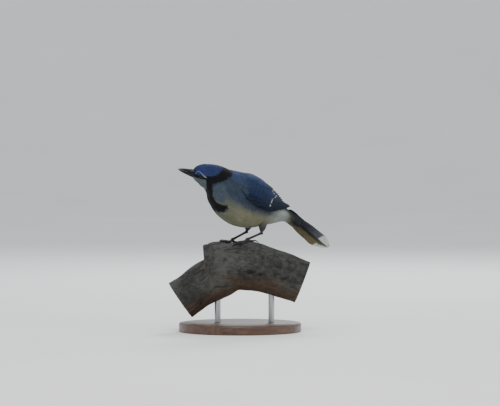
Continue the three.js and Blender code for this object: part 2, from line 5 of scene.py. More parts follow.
import bmesh
import bpy
import numpy as np
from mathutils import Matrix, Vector, noise
from mathutils.bvhtree import BVHTree
from mathutils.kdtree import KDTree


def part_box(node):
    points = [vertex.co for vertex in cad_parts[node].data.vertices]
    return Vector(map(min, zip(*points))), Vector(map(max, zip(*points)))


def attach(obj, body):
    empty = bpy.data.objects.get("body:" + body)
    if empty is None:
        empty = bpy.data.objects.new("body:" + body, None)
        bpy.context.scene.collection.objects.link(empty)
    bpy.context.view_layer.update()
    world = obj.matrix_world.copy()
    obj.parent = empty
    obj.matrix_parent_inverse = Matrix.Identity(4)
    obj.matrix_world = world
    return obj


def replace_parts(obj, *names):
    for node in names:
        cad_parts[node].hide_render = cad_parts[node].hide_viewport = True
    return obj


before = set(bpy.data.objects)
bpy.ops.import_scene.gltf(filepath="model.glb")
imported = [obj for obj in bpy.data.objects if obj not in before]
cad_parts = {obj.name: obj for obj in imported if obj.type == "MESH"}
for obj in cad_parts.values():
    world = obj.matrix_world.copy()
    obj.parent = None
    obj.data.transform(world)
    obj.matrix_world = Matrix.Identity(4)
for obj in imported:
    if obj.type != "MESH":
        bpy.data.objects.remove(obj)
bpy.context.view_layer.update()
scene = bpy.context.scene
rng = np.random.default_rng(11)

# Sizes are in millimetres until a mesh is made, and angles in degrees.
MM = 0.001
WELD = 1e-6  # metres within which two vertices are one
PERCH_TOP = 120.0
YAW = 32.0  # from the branch's line to the bird's

# The body's sections from the bill's base to the tail's root: x, height over the perch, half width, and how far
# the plumage reaches above and below that line.
SECTIONS = np.array([
    (-70.0, 92.0, 4.5, 5.0, 5.4), (-65.2, 92.0, 8.5, 9.5, 10.4), (-58.2, 92.0, 11.7, 12.3, 16.2),
    (-48.6, 91.0, 14.6, 13.8, 21.0), (-37.5, 87.5, 17.0, 15.6, 28.5), (-25.0, 81.0, 21.0, 17.6, 37.0),
    (-10.0, 73.0, 25.0, 21.8, 43.8), (7.0, 65.5, 27.5, 27.0, 46.0), (24.0, 58.0, 26.5, 22.6, 42.0),
    (41.0, 51.0, 22.0, 18.0, 33.0), (57.0, 43.5, 16.5, 13.5, 22.0), (71.0, 36.5, 12.0, 9.5, 11.0),
    (83.0, 29.5, 8.5, 6.0, 5.8),
])
LAST = len(SECTIONS) - 1
FULLNESS = 0.84
NECK = {"x": -42.0, "turn": 18.0, "start": 5.0, "end": 2.6}
EYE = {"radius": 3.8, "s": 1.6, "angle": -17.0, "sunk": 2.85, "bare": 2.5}
BILL = {"length": 24.0, "rise": 18.0, "width": 8.6, "upper": 5.4, "lower": 4.8, "hook": 1.3, "sunk": 2.2}
TAIL = {"x": 84.0, "z": 33.0, "droop": 37.0, "roll": -24.0, "length": 72.0, "pairs": 6, "step": 0.9}
SPREAD = {"left": (4.0, 1.5), "right": (2.0, 1.2)}  # the fan's half angle, and the step from root to root


# Shapes

def smooth(rows, s):
    """Catmull-Rom through rows of numbers, at places counted in rows."""
    last = len(rows) - 1
    at = np.clip(s, 0, last - 1e-9)
    i = np.floor(at).astype(int)
    f = (at - i)[..., None]
    a, b, d, e = (rows[np.clip(i + k, 0, last)] for k in (-1, 0, 1, 2))
    return b + 0.5 * f * (d - a + f * (2 * a - 5 * b + 4 * d - e + f * (3 * (b - d) + e - a)))


def smoothstep(x, low, high):
    t = np.clip((x - low) / (high - low), 0, 1)
    return t * t * (3 - 2 * t)


def fade(x, low, high):
    return 1 - smoothstep(x, low, high)


def mix(first, second, share):
    """Goes from one colour or place to another, by a share for each point."""
    return first + (second - first) * np.asarray(share)[..., None]


def unit(v):
    return v / np.maximum(np.linalg.norm(v, axis=-1, keepdims=True), 1e-12)


def turned(p, share):
    """Turns points of the head about a line through the neck."""
    turn = -np.radians(NECK["turn"]) * share
    c, n = np.cos(turn), np.sin(turn)
    x, y = p[..., 0] - NECK["x"], p[..., 1]
    return np.stack([NECK["x"] + c * x - n * y, n * x + c * y, p[..., 2]], -1)


def body(s, angle, grow=0.0, share=1.0):
    """A point on the plumage: s counts sections, angle 0 is the left side, 90 the back and -90 the belly."""
    s, angle, grow = np.broadcast_arrays(np.asarray(s, float), angle, grow)
    x, z, half, up, down = np.moveaxis(smooth(SECTIONS, s), -1, 0)
    ahead = unit((smooth(SECTIONS, s + 1e-3) - smooth(SECTIONS, s - 1e-3))[..., :2])
    c, n = np.cos(np.radians(angle)), np.sin(np.radians(angle))
    rise = (np.where(n > 0, up, down) + grow) * n * share
    wide = (half + grow) * np.sign(c) * np.abs(c) ** np.where(n > 0, 1.0, FULLNESS) * share
    points = np.stack([x - ahead[..., 1] * rise, -wide, PERCH_TOP + z + ahead[..., 0] * rise], -1)
    return turned(points, fade(s, NECK["end"], NECK["start"]))


def edge_angle(s):
    """The closed wing's lower edge: level along the flank, climbing towards both ends."""
    return -20 + 75 * np.maximum(0, (s - 8.6) / 2.5) ** 2.2 + 18 * np.maximum(0, (6.4 - s) / 1.2) ** 1.5


def girth(s):
    """Millimetres of the plumage's round for each degree."""
    half, up = np.moveaxis(smooth(SECTIONS, np.asarray(s, float)), -1, 0)[2:4]
    return np.radians((half + up) / 2)


def wing(s, w, height=0.0):
    """A point over the flank, w millimetres above the closed wing's lower edge."""
    return body(s, edge_angle(s) + w / girth(s), height)


def on_side(angle):
    """Height on the side from -90, the belly, to 90, the back."""
    return np.degrees(np.arcsin(np.clip(np.sin(np.radians(angle)), -1, 1)))


def above_edge(s, angle):
    """Millimetres above the closed wing's lower edge."""
    return (on_side(angle) - edge_angle(s)) * girth(s)


def wing_rise(s, w):
    """How far the closed wing lifts the plumage that lies over it."""
    along = smoothstep(s, 4.9, 6.5) * fade(s, 7.3, 9.2)
    return 4.2 * along * smoothstep(w, -5, 9) * fade(w, 26, 42)


def plumage(s, angle, height=0.0):
    """A point on the plumage, over body and wings alike."""
    return body(s, angle, height + wing_rise(s, above_edge(s, angle)))


def coverts(s, w, height=0.0):
    return wing(s, w, height + wing_rise(s, w))


tail_way = np.array([math.cos(math.radians(TAIL["droop"])), 0, -math.sin(math.radians(TAIL["droop"]))])
roll = math.radians(TAIL["roll"])
tail_side = math.cos(roll) * np.array([0, 1.0, 0]) + math.sin(roll) * np.cross(tail_way, [0, 1.0, 0])
tail_up = np.cross(tail_way, tail_side)
tail_root = np.array([TAIL["x"], 0, PERCH_TOP + TAIL["z"]])


def tail_point(along, across, up):
    """A point over the tail's plane, along its middle line and across it."""
    along, across, up = (np.asarray(x, float)[..., None] for x in (along, across, up))
    return tail_root + along * tail_way + across * tail_side + up * tail_up


def places_of(verts):
    return np.array([v.co for v in verts])


def move_to(bm, places):
    """Puts the vertices at places in millimetres."""
    for vert, place in zip(bm.verts, places * MM):
        vert.co = place
    return bm


def tube(place, around, steps):
    """A closed tube, whose place(t, angle, share) runs from t 0 to 1, with share 0 on its middle line."""
    bm = bmesh.new()
    bmesh.ops.create_cone(bm, cap_ends=True, segments=around, radius1=1, radius2=1, depth=1)
    upright = [e for e in bm.edges if abs(e.verts[0].co.z - e.verts[1].co.z) > 0.5]
    bmesh.ops.subdivide_edges(bm, edges=upright, cuts=steps - 1)
    x, y, z = places_of(bm.verts).T
    return move_to(bm, place(0.5 - z, np.degrees(np.arctan2(y, x)), np.hypot(x, y)))


def spun(bm, geom, steps):
    """Turns a profile once round the upright axis."""
    bmesh.ops.spin(bm, geom=geom, cent=(0, 0, 0), axis=(0, 0, 1), angle=2 * math.pi, steps=steps, use_merge=True)


def mesh_of(name, bm):
    mesh = bpy.data.meshes.new(name)
    bm.to_mesh(mesh)
    bm.free()
    return mesh


def linked(name, data):
    """A new object in the scene."""
    made = bpy.data.objects.new(name, data)
    scene.collection.objects.link(made)
    return made


def finished(name, bm, material, slot_name, smooth_angle=None):
    """Makes a bmesh a piece of the model."""
    bmesh.ops.remove_doubles(bm, verts=bm.verts, dist=WELD)
    bmesh.ops.recalc_face_normals(bm, faces=bm.faces)
    return placed(name, mesh_of(name, bm), material, slot_name, smooth_angle)


def placed(name, mesh, material, slot_name, smooth_angle=None):
    mesh.name = name
    mesh.shade_smooth()
    if smooth_angle:
        mesh.set_sharp_from_angle(angle=math.radians(smooth_angle))
    mesh.materials.clear()
    mesh.materials.append(material)
    piece = linked(name, mesh)
    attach(piece, "root")
    return piece


def paint(mesh, colors):
    """Stores a colour for each vertex, or one for all."""
    rgba = np.ones((len(mesh.vertices), 4), np.float32)
    rgba[:, :3] = colors
    mesh.color_attributes.new("tint", "FLOAT_COLOR", "POINT").data.foreach_set("color", rgba.ravel())


def store(mesh, name, values):
    """Stores a number for each vertex."""
    mesh.attributes.new(name, "FLOAT", "POINT").data.foreach_set("value", values.astype(np.float32).ravel())


def store_map(mesh, name, x, y, order):
    """Stores a UV map from two numbers for each vertex, in the order of the faces' corners."""
    both = np.stack([x.ravel(), y.ravel()], -1)[order]
    mesh.uv_layers.new(name=name).data.foreach_set("uv", both.astype(np.float32).ravel())


# Materials

def linear(red, green, blue):
    """Linear light of a colour given as 0 to 255."""
    c = np.array([red, green, blue]) / 255
    return np.where(c > 0.04045, ((c + 0.055) / 1.055) ** 2.4, c / 12.92)


def plug(tree, socket, value):
    """Gives an input a plain value or another node's output."""
    if isinstance(value, bpy.types.NodeSocket):
        tree.links.new(value, socket)
    elif value is not None:
        socket.default_value = value


def feed(tree, node, **values):
    """Gives a node's inputs their values by name, with _ for a space."""
    for key, value in values.items():
        plug(tree, node.inputs[key.replace("_", " ")], value)
    return node


def add(tree, kind, *values, **settings):
    """Adds a node. The values go to its inputs in their order."""
    made = tree.nodes.new("ShaderNode" + kind)
    for key, value in settings.items():
        setattr(made, key, value)
    for socket, value in zip(made.inputs, values):
        plug(tree, socket, value)
    return made


def maths(tree, operation, *values):
    return add(tree, "Math", *values, operation=operation).outputs[0]


def blend(tree, share, first, second, mode="MIX"):
    """Mixes two colours."""
    made = add(tree, "Mix", data_type="RGBA", blend_type=mode)
    for k, value in zip((0, 6, 7), (share, first, second)):
        plug(tree, made.inputs[k], (*value, 1.0) if isinstance(value, np.ndarray) else value)
    return made.outputs[2]


def times(tree, first, second):
    return blend(tree, 1.0, first, second, "MULTIPLY")


def ramp(tree, value, *stops):
    """A ramp of grey levels: each stop is a place and a level."""
    made = add(tree, "ValToRGB", value)
    band = made.color_ramp
    while len(band.elements) < len(stops):
        band.elements.new(0.5)
    for element, (place, level) in zip(band.elements, stops):
        element.position = place
        element.color = (level, level, level, 1)
    return made.outputs[0]


def span(tree, value, *limits):
    """Moves a value from its first limits to its last."""
    return add(tree, "MapRange", value, *limits).outputs[0]


def noise_at(tree, where, scale, detail=4.0, roughness=0.55):
    made = add(tree, "TexNoise", where)
    return feed(tree, made, Scale=scale, Detail=detail, Roughness=roughness).outputs["Fac"]


def painted(tree, name, output="Fac"):
    """What is stored on the mesh under a name."""
    return add(tree, "Attribute", attribute_name=name).outputs[output]


def map_of(tree, name):
    return add(tree, "UVMap", uv_map=name).outputs[0]


def own_place(tree):
    return add(tree, "TexCoord").outputs["Object"]


def stretched(tree, where, *scale):
    return add(tree, "Mapping", where, None, None, scale).outputs[0]


def group(name, ins, outs):
    """A shader node group with named sockets. Returns it with its input and output nodes."""
    tree = bpy.data.node_groups.new(name, "ShaderNodeTree")
    for label, kind, value in ins:
        socket = tree.interface.new_socket(name=label, in_out="INPUT", socket_type="NodeSocket" + kind)
        if value is not None:
            socket.default_value = value
    for label in outs:
        tree.interface.new_socket(name=label, in_out="OUTPUT", socket_type="NodeSocketFloat")
    return tree, tree.nodes.new("NodeGroupInput").outputs, tree.nodes.new("NodeGroupOutput")


def use(tree, node_group, **values):
    """Places a group, with its inputs given by name."""
    made = tree.nodes.new("ShaderNodeGroup")
    made.node_tree = node_group
    return feed(tree, made, **values).outputs


def material(name, **settings):
    """A material with a Principled BSDF, whose plain values are set on its own sockets."""
    made = bpy.data.materials.new(name)
    made.use_nodes = True
    feed(made.node_tree, made.node_tree.nodes["Principled BSDF"], **settings)
    return made, made.node_tree


def shown(made, color, rough=None, height=None, distance=0.0, strength=0.0):
    """Links a material's colour, and where given its roughness and a bump from a height."""
    tree, normal = made.node_tree, None
    if height is not None:
        bump = feed(tree, add(tree, "Bump"), Strength=strength, Distance=distance, Height=height)
        normal = bump.outputs[0]
    feed(tree, tree.nodes["Principled BSDF"], Base_Color=color, Roughness=rough, Normal=normal)
    return made


def barb_group():
    """Fine slanting barbs either side of a shaft, from the vane map: x runs across, y along in decimetres."""
    tree, given, out = group(
        "Barbs", [("Vane", "Vector", None), ("Across", "Float", 60.0), ("Along", "Float", 700.0)],
        ["Height", "Shaft", "Streak"])
    do = partial(maths, tree)
    vane = given["Vane"]
    across, along = add(tree, "SeparateXYZ", vane).outputs[:2]
    off = do("ABSOLUTE", do("SUBTRACT", across, 0.5))
    slant = do("SUBTRACT", do("MULTIPLY", along, given["Along"]), do("MULTIPLY", off, given["Across"]))
    wave = do("SINE", do("ADD", slant, do("MULTIPLY", noise_at(tree, vane, 9.0, 2.0), 3.0)))
    shaft = do("LESS_THAN", off, 0.02)
    hairs = add(tree, "CombineXYZ", do("MULTIPLY", slant, 0.08), do("MULTIPLY", off, 2.5)).outputs[0]
    streak = span(tree, noise_at(tree, hairs, 1.0, 4.0, 0.6), 0.32, 0.68, 0.82, 1.16)
    feed(tree, out, Height=do("ADD", do("MULTIPLY", wave, 0.5), shaft), Shaft=shaft, Streak=streak)
    return tree


def mottle_group():
    """Soft patches of light and dark over an object, in its own place."""
    tree, given, out = group(
        "Mottle", [("Scale", "Float", 60.0), ("Low", "Float", 0.8), ("High", "Float", 1.2)], ["Shade"])
    soft = noise_at(tree, own_place(tree), given["Scale"], 5.0, 0.5)
    feed(tree, out, Shade=span(tree, soft, 0.3, 0.7, given["Low"], given["High"]))
    return tree


BARBS = barb_group()
MOTTLE = mottle_group()


def mottle(tree, scale, low, high):
    return use(tree, MOTTLE, Scale=scale, Low=low, High=high)[0]


def plumage_material(name, along, gloss, barred):
    """Feathers: their colour is painted on them, the vane map gives barbs, and the tip map dark bars."""
    made, tree = material(name, Roughness=0.8, Sheen_Weight=gloss, Sheen_Roughness=0.5, Specular_IOR_Level=0.16)
    barbs = use(tree, BARBS, Vane=map_of(tree, "vane"), Along=along)
    color = times(tree, painted(tree, "tint", "Color"), mottle(tree, 140.0, 0.7, 0.92))
    color = times(tree, color, barbs["Streak"])
    if barred:
        from_tip = add(tree, "SeparateXYZ", map_of(tree, "tip")).outputs[0]
        bars = ramp(tree, maths(tree, "SINE", maths(tree, "MULTIPLY", from_tip, 115.0)), (0.55, 0.0), (0.8, 1.0))
        color = blend(tree, maths(tree, "MULTIPLY", bars, painted(tree, "barred")), color, linear(16, 20, 32))
    color = blend(tree, maths(tree, "MULTIPLY", barbs["Shaft"], 0.5), color, linear(18, 20, 27))
    return shown(made, color, None, barbs["Height"], 0.00012, 0.35)


def horn_material(name, streaks, rough):
    """Bill, scutes and claws: the colour is painted on them, with fine streaks."""
    made, tree = material(name, Specular_IOR_Level=0.22)
    fine = noise_at(tree, own_place(tree), streaks, 6.0, 0.65)
    color = times(tree, painted(tree, "tint", "Color"), ramp(tree, fine, (0.3, 0.72), (0.7, 1.25)))
    return shown(made, color, ramp(tree, fine, (0.25, rough - 0.1), (0.75, rough + 0.12)), fine, 0.0001, 0.3)


def skin_material():
    made, tree = material("plumage_base", Roughness=0.9, Specular_IOR_Level=0.15)
    shade = mottle(tree, 500.0, 0.55, 0.95)
    return shown(made, times(tree, painted(tree, "tint", "Color"), shade), None, shade, 0.0004, 0.5)


def eye_material():
    made, tree = material("wet_eye", Roughness=0.05, Specular_IOR_Level=0.4, IOR=1.38)
    return shown(made, times(tree, painted(tree, "tint", "Color"), mottle(tree, 900.0, 0.75, 1.3)))


def bark_material():
    """Smooth weathered bark: pale and dark stains, fine grain along the branch, end grain on the sawn faces, painted
    warm reflected light underneath, and painted shade in the cracks, the pits and by the feet.
    """
    made, tree = material("weathered_bark", Roughness=0.88, Specular_IOR_Level=0.25)
    do = partial(maths, tree)
    grain, where = map_of(tree, "grain"), own_place(tree)
    fine = noise_at(tree, stretched(tree, grain, 1.0, 0.9, 1.0), 130.0, 10.0, 0.75)
    flakes = noise_at(tree, where, 150.0, 8.0, 0.65)
    broad = noise_at(tree, where, 20.0, 4.0, 0.5)
    strokes = noise_at(tree, stretched(tree, grain, 1.0, 3.0, 1.0), 11.0, 7.0, 0.62)
    seams = do("ABSOLUTE", do("SUBTRACT", strokes, 0.5))
    ragged = do("ADD", do("MULTIPLY_ADD", flakes, 0.25, -0.3),
                do("MULTIPLY_ADD", strokes, 0.6, do("MULTIPLY", broad, 0.75)))
    # Painted warm light reflected from below, on the branch's underside
    warm = do("MULTIPLY", painted(tree, "under"), ramp(tree, flakes, (0.3, 0.45), (0.6, 0.8)))
    color = linear(50, 50, 48)
    for share, tone in (
            (ramp(tree, flakes, (0.38, 0.0), (0.62, 1.0)), (69, 69, 66)),
            (ramp(tree, ragged, (0.48, 0.0), (0.58, 0.6)), (95, 96, 92)),
            (ramp(tree, ragged, (0.35, 0.6), (0.44, 0.0)), (37, 36, 36)),
            (ramp(tree, fine, (0.36, 0.5), (0.5, 0.0)), (36, 34, 33)),
            (ramp(tree, seams, (0.0, 0.7), (0.012, 0.0)), (30, 29, 28)),
            (warm, (100, 80, 63)),
            # painted shade in the cracks, the pits and by the feet
            (painted(tree, "painted_shade"), (30, 28, 27))):
        color = blend(tree, share, color, linear(*tone))
    wander = do("MULTIPLY_ADD", broad, 22.0, do("MULTIPLY", flakes, 2.0))
    rings = do("SINE", do("ADD", do("MULTIPLY", painted(tree, "ring"), 120.0), wander))
    cut = blend(tree, ramp(tree, rings, (0.3, 0.0), (0.9, 1.0)), linear(96, 82, 66), linear(116, 101, 82))
    cut = blend(tree, ramp(tree, broad, (0.35, 0.0), (0.6, 0.6)), cut, linear(84, 74, 64))
    coarse = do("MULTIPLY_ADD", flakes, 0.5, ramp(tree, seams, (0.0, 0.0), (0.03, 0.5)))
    color = blend(tree, painted(tree, "sawn"), color, cut)
    return shown(made, color, None, do("MULTIPLY_ADD", fine, 0.7, coarse), 0.001, 0.7)


def stand_wood_material():
    made, tree = material("stained_wood", Coat_Weight=0.25, Coat_Roughness=0.3)
    where = own_place(tree)
    grain = noise_at(tree, stretched(tree, where, 1.0, 14.0, 14.0), 14.0, 8.0, 0.6)
    pores = noise_at(tree, stretched(tree, where, 1.0, 30.0, 30.0), 60.0, 3.0)
    color = blend(tree, ramp(tree, grain, (0.3, 0.0), (0.7, 1.0)), linear(52, 34, 24), linear(104, 72, 50))
    color = blend(tree, ramp(tree, pores, (0.36, 0.7), (0.46, 0.0)), color, linear(32, 21, 15))
    return shown(made, color, ramp(tree, grain, (0.3, 0.46), (0.7, 0.34)), pores, 0.0002, 0.3)


def steel_material():
    made, tree = material("brushed_steel", Metallic=1.0)
    lines = noise_at(tree, stretched(tree, own_place(tree), 1.0, 1.0, 60.0), 40.0, 4.0, 0.6)
    color = blend(tree, lines, linear(150, 152, 155), linear(196, 198, 200))
    return shown(made, color, ramp(tree, lines, (0.3, 0.26), (0.7, 0.42)), lines, 0.00003, 0.2)


def floor_material():
    made, tree = material("pale_floor", Roughness=0.85)
    return shown(made, times(tree, linear(243, 243, 241), mottle(tree, 3.0, 0.98, 1.02)))


SOFT_PLUMAGE = plumage_material("soft_plumage", 2400.0, 0.05, False)
VANED = plumage_material("vaned_feathers", 5200.0, 0.03, True)
SKIN = skin_material()
HORN = horn_material("dark_horn", 700.0, 0.46)
SCUTES = horn_material("scutes", 900.0, 0.55)
WET_EYE = eye_material()
BARK = bark_material()
STAND_WOOD = stand_wood_material()
STEEL = steel_material()
FLOOR = floor_material()

# Colours
CROWN = linear(42, 55, 101)
FOREHEAD = linear(37, 44, 77)
BLACK = linear(7, 8, 13)
BROW = linear(138, 150, 160)
THROAT = linear(88, 100, 103)
PATCH = linear(69, 81, 93)
MANTLE = linear(52, 68, 104)
SLATE = linear(54, 66, 82)
BREAST = linear(104, 107, 94)
BELLY = linear(126, 124, 102)
VENT = linear(160, 166, 160)
# Painted shade: the vent's end and the coverts under the tail are dark for the shade under the tail
VENT_SHADE = linear(64, 60, 50)
RUMP = linear(60, 78, 118)
WING_BLUE = linear(36, 52, 82)
PRIMARY = linear(38, 50, 70)
TAIL_BLUE = linear(46, 60, 94)
TAIL_UNDER = linear(92, 95, 103)
# Painted warm light reflected from below, on the right half of the tail's underside
TAIL_BOUNCE = linear(112, 105, 74)
TAIL_DARK = linear(42, 44, 56)
# Painted shadow down the middle of the tail's underside
TAIL_SHADE = linear(30, 28, 24)
WHITE = linear(222, 225, 222)


# Markings, by section and by height on the side from -90, the belly, to 90, the back

SECTION_LONG = 12.5  # millimetres from section to section, about


def local_scale(s):
    """Millimetres for each section and for each degree."""
    rows = smooth(SECTIONS, s)
    return SECTION_LONG, np.radians((rows[..., 2] + rows[..., 3:].mean(-1)) / 2)


def to_line(s, b, line):
    """Distance in millimetres to a line of (section, height on the side)."""
    along, round_it = local_scale(s)
    best = np.full(np.shape(s), 1e9)
    for (s0, b0), (s1, b1) in zip(line[:-1], line[1:]):
        px, py = (s - s0) * along, (b - b0) * round_it
        qx, qy = (s1 - s0) * along, (b1 - b0) * round_it
        t = np.clip((px * qx + py * qy) / np.maximum(qx * qx + qy * qy, 1e-9), 0, 1)
        best = np.minimum(best, np.hypot(px - t * qx, py - t * qy))
    return best


def inside(s, b, outline):
    """1 inside an outline of (section, height on the side), 0 outside it, soft over a millimetre."""
    odd = np.zeros(np.shape(s), bool)
    for (s0, b0), (s1, b1) in zip(outline, outline[1:] + outline[:1]):
        crosses = (b0 > b) != (b1 > b)
        odd ^= crosses & (s < s0 + (s1 - s0) * (b - b0) / (b1 - b0 if b1 != b0 else 1e-9))
    far = to_line(s, b, outline + outline[:1])
    return smoothstep(np.where(odd, far, -far), -0.6, 0.6)


COLLAR = [(4.2, 91), (4.0, 45), (3.67, 8), (3.19, -7), (2.6, -12), (2.43, -24), (2.7, -50), (3.0, -78), (3.1, -91),
          (5.4, -91), (5.5, -87), (5.7, -72), (5.8, -52), (5.63, -45), (5.26, -57), (4.8, -65), (4.17, -62),
          (3.7, -47), (3.5, -30), (3.85, -19), (4.4, -6), (4.82, 26), (4.95, 60), (4.95, 91)]
THROAT_PATCH = [(0.0, -30), (1.0, -29), (2.43, -24), (2.7, -50), (3.0, -78), (3.1, -91), (0.0, -91)]
SIDE_PATCH = [(3.72, -46), (3.95, -22), (4.6, -14), (5.1, -27), (5.35, -47), (4.8, -63), (4.2, -60)]
EYE_BAND = [(0.2, -17), (0.54, -19), (1.1, -20), (1.6, -20), (2.3, -18), (3.26, -12)]
LORE = [(0.05, -15), (0.25, 5), (0.5, 30), (0.62, 62), (0.66, 91)]
BROW_LINE = [(0.55, -4), (0.72, 10), (1.0, 18), (1.3, 17), (1.6, 7), (1.93, -6), (2.2, -12), (2.45, -16)]


def markings(s, angle):
    """The plumage's colour on head and body."""
    b = on_side(angle)
    color = np.broadcast_to(CROWN, np.shape(s) + (3,))
    for tone, share in (
            (FOREHEAD, 0.6 * fade(s, 0.4, 1.4)),
            (FOREHEAD, 0.5 * smoothstep(s, 3.0, 3.9)),
            (MANTLE, smoothstep(s, 4.2, 4.8)),
            (SLATE, smoothstep(s, 3.4, 4.0) * fade(b, -5, 40)),
            (BREAST, smoothstep(s, 3.4, 4.0) * fade(b, -52, -18)),
            (BELLY, smoothstep(s, 5.2, 7.0) * fade(b, -45, -22)),
            (RUMP, smoothstep(s, 8.0, 10.0) * smoothstep(b, 10, 40)),
            (VENT, smoothstep(s, 8.6, 10.4) * fade(b, -8, 14)),
            # painted shade at the vent's end, under the tail
            (VENT_SHADE, smoothstep(s + 0.008 * (b + 45), 10.75, 11.75) * fade(b, 10, 45)),
            (PATCH, inside(s, b, SIDE_PATCH)),
            (THROAT, inside(s, b, THROAT_PATCH)),
            (BLACK, inside(s, b, COLLAR)),
            (BLACK, fade(to_line(s, b, EYE_BAND), 1.5, 2.3)),
            (BLACK, 0.85 * fade(to_line(s, b, LORE), 0.7, 1.4)),
            (BROW, (0.6 + 0.4 * smoothstep(s, 1.0, 1.9)) * fade(to_line(s, b, BROW_LINE), 0.25, 0.75))):
        color = mix(color, tone, share)
    return color


# Feathers

def vane_faces(count, rows, columns):
    """Faces of many closed vanes, each a grid of two faces with a rim."""
    def at(face, i, j):
        return (face * (rows + 1) + i) * (columns + 1) + j
    quads = []
    for i in range(rows):
        for j in range(columns):
            quads.append((at(1, i, j), at(1, i + 1, j), at(1, i + 1, j + 1), at(1, i, j + 1)))
            quads.append((at(0, i, j), at(0, i, j + 1), at(0, i + 1, j + 1), at(0, i + 1, j)))
        quads.append((at(0, i, 0), at(0, i + 1, 0), at(1, i + 1, 0), at(1, i, 0)))
        quads.append((at(0, i, columns), at(1, i, columns), at(1, i + 1, columns), at(0, i + 1, columns)))
    for j in range(columns):
        quads.append((at(0, 0, j), at(1, 0, j), at(1, 0, j + 1), at(0, 0, j + 1)))
        quads.append((at(0, rows, j), at(0, rows, j + 1), at(1, rows, j + 1), at(1, rows, j)))
    step = 2 * (rows + 1) * (columns + 1)
    return (np.array(quads)[None] + step * np.arange(count)[:, None, None]).reshape(-1, 4)


def tuft_faces(count, rows, columns, flip):
    """Faces of many closed tufts: an arched upper face, a lower face one strip wide, and both ends."""
    def at(i, j):
        return i * (columns + 1) + j
    polygons = [[at(0, j) for j in range(columns + 1)], [at(rows, columns - j) for j in range(columns + 1)]]
    for i in range(rows):
        polygons += [[at(i, j), at(i + 1, j), at(i + 1, j + 1), at(i, j + 1)] for j in range(columns)]
        polygons.append([at(i, columns), at(i + 1, columns), at(i + 1, 0), at(i, 0)])
    if flip:
        polygons = [polygon[::-1] for polygon in polygons]
    corners = np.array([corner for polygon in polygons for corner in polygon])
    step = (rows + 1) * (columns + 1)
    return corners + step * np.arange(count)[:, None], np.tile([len(polygon) for polygon in polygons], count)


def blade(u, root=0.5, tip=0.74):
    """Half width along a vane as a share of its widest: narrow root, even middle, round tip."""
    swell = root + (1 - root) * np.sin(np.minimum(1, u * 2.2) * np.pi / 2)
    return np.maximum(swell - tip * np.maximum(0, (u - 0.8) / 0.2) ** 2, 0.03)


def drape(surface, roots, tips, u, across, height):
    """Places points on a surface: u runs along each line from root to tip, across is in millimetres."""
    s, w = np.moveaxis(mix(roots[:, None, None], tips[:, None, None], u), -1, 0)
    here = surface(s, w, height)
    down = (surface(s + 0.01, w, height) - here) * 100
    over = (surface(s, w + 0.1, height) - here) * 10
    out = unit(np.cross(down, over))
    way = tips - roots
    along = unit(down * way[:, None, None, :1] + over * way[:, None, None, 1:])
    side = np.cross(out, along) * across[..., None]
    ss, sw, ww = ((a * b).sum(-1) for a, b in ((down, down), (down, over), (over, over)))
    ps, pw = (side * down).sum(-1), (side * over).sum(-1)
    size = np.maximum(ss * ww - sw * sw, 1e-9)
    return surface(s + (ps * ww - pw * sw) / size, w + (pw * ss - ps * sw) / size, height)


FOLD_ANGLE = 70  # degrees, past which an edge of a feather stays sharp
TUFT_PATCH = 0.0015  # half a tuft's patch on the bake's map


def feather_mesh(name, points, corners, sizes, tint, maps, material_used, slot_name, barred=0.0):
    """One piece from the places of many feathers, in millimetres, with their colours and maps."""
    shape = points.shape[:-1]
    order = corners.ravel()
    mesh = bpy.data.meshes.new(name)
    mesh.vertices.add(points.size // 3)
    mesh.vertices.foreach_set("co", (points.reshape(-1) * MM).astype(np.float32))
    mesh.loops.add(len(order))
    mesh.loops.foreach_set("vertex_index", order.astype(np.int32))
    mesh.polygons.add(len(sizes))
    mesh.polygons.foreach_set("loop_start", np.concatenate([[0], np.cumsum(sizes)[:-1]]).astype(np.int32))
    for label, both in maps.items():
        store_map(mesh, label, *(np.broadcast_to(values, shape) for values in both), order)
    mesh.update(calc_edges=True)
    paint(mesh, np.broadcast_to(tint, shape + (3,)).reshape(-1, 3))
    store(mesh, "barred", np.broadcast_to(barred, shape))
    return placed(name, mesh, material_used, slot_name, FOLD_ANGLE)


def tufts(name, points, tint, skin_place, length, u, v, slot_name, flip=False):
    """Joins many small feathers in one piece. points is (feathers, rows, columns, 3)."""
    count, rows, columns, _ = points.shape
    corners, sizes = tuft_faces(count, rows - 1, columns - 1, flip)
    x, y = skin_place.T[:, :, None, None]
    maps = {
        "OFBake": (x + TUFT_PATCH * v, y + TUFT_PATCH * (2 * np.minimum(u, 1) - 1)),
        "vane": (0.5 + 0.5 * v, u * length[:, None, None] * 0.01),
    }
    return feather_mesh(name, points, corners, sizes, tint, maps, SOFT_PLUMAGE, slot_name)


def vanes(name, points, tint, lengths, u, slot_name, barred, atlas, flip=False):
    """Joins big feathers in one piece. points is (feathers, 2 faces, rows, columns, 3)."""
    count, _, rows, columns, _ = points.shape
    corners = vane_faces(count, rows - 1, columns - 1)
    if flip:
        corners = corners[:, ::-1]
    long = lengths[:, None, None, None]
    u = u[:, None]
    cell, face = np.arange(count)[:, None, None, None], np.arange(2)[None, :, None, None]
    wide, high = 1 / (2 * atlas), 1 / math.ceil(count / atlas)
    maps = {
        "OFBake": ((cell % atlas) / atlas + face * wide + wide * (0.5 + 0.46 * ACROSS),
                   (cell // atlas) * high + high * (0.03 + 0.94 * u)),
        "vane": (0.5 + 0.5 * ACROSS, u * long * 0.01),
        "tip": ((1 - u) * long * 0.01, (cell * 0.618) % 1),
    }
    sizes = np.full(len(corners), 4)
    return feather_mesh(name, points, corners, sizes, tint, maps, VANED, slot_name, barred)


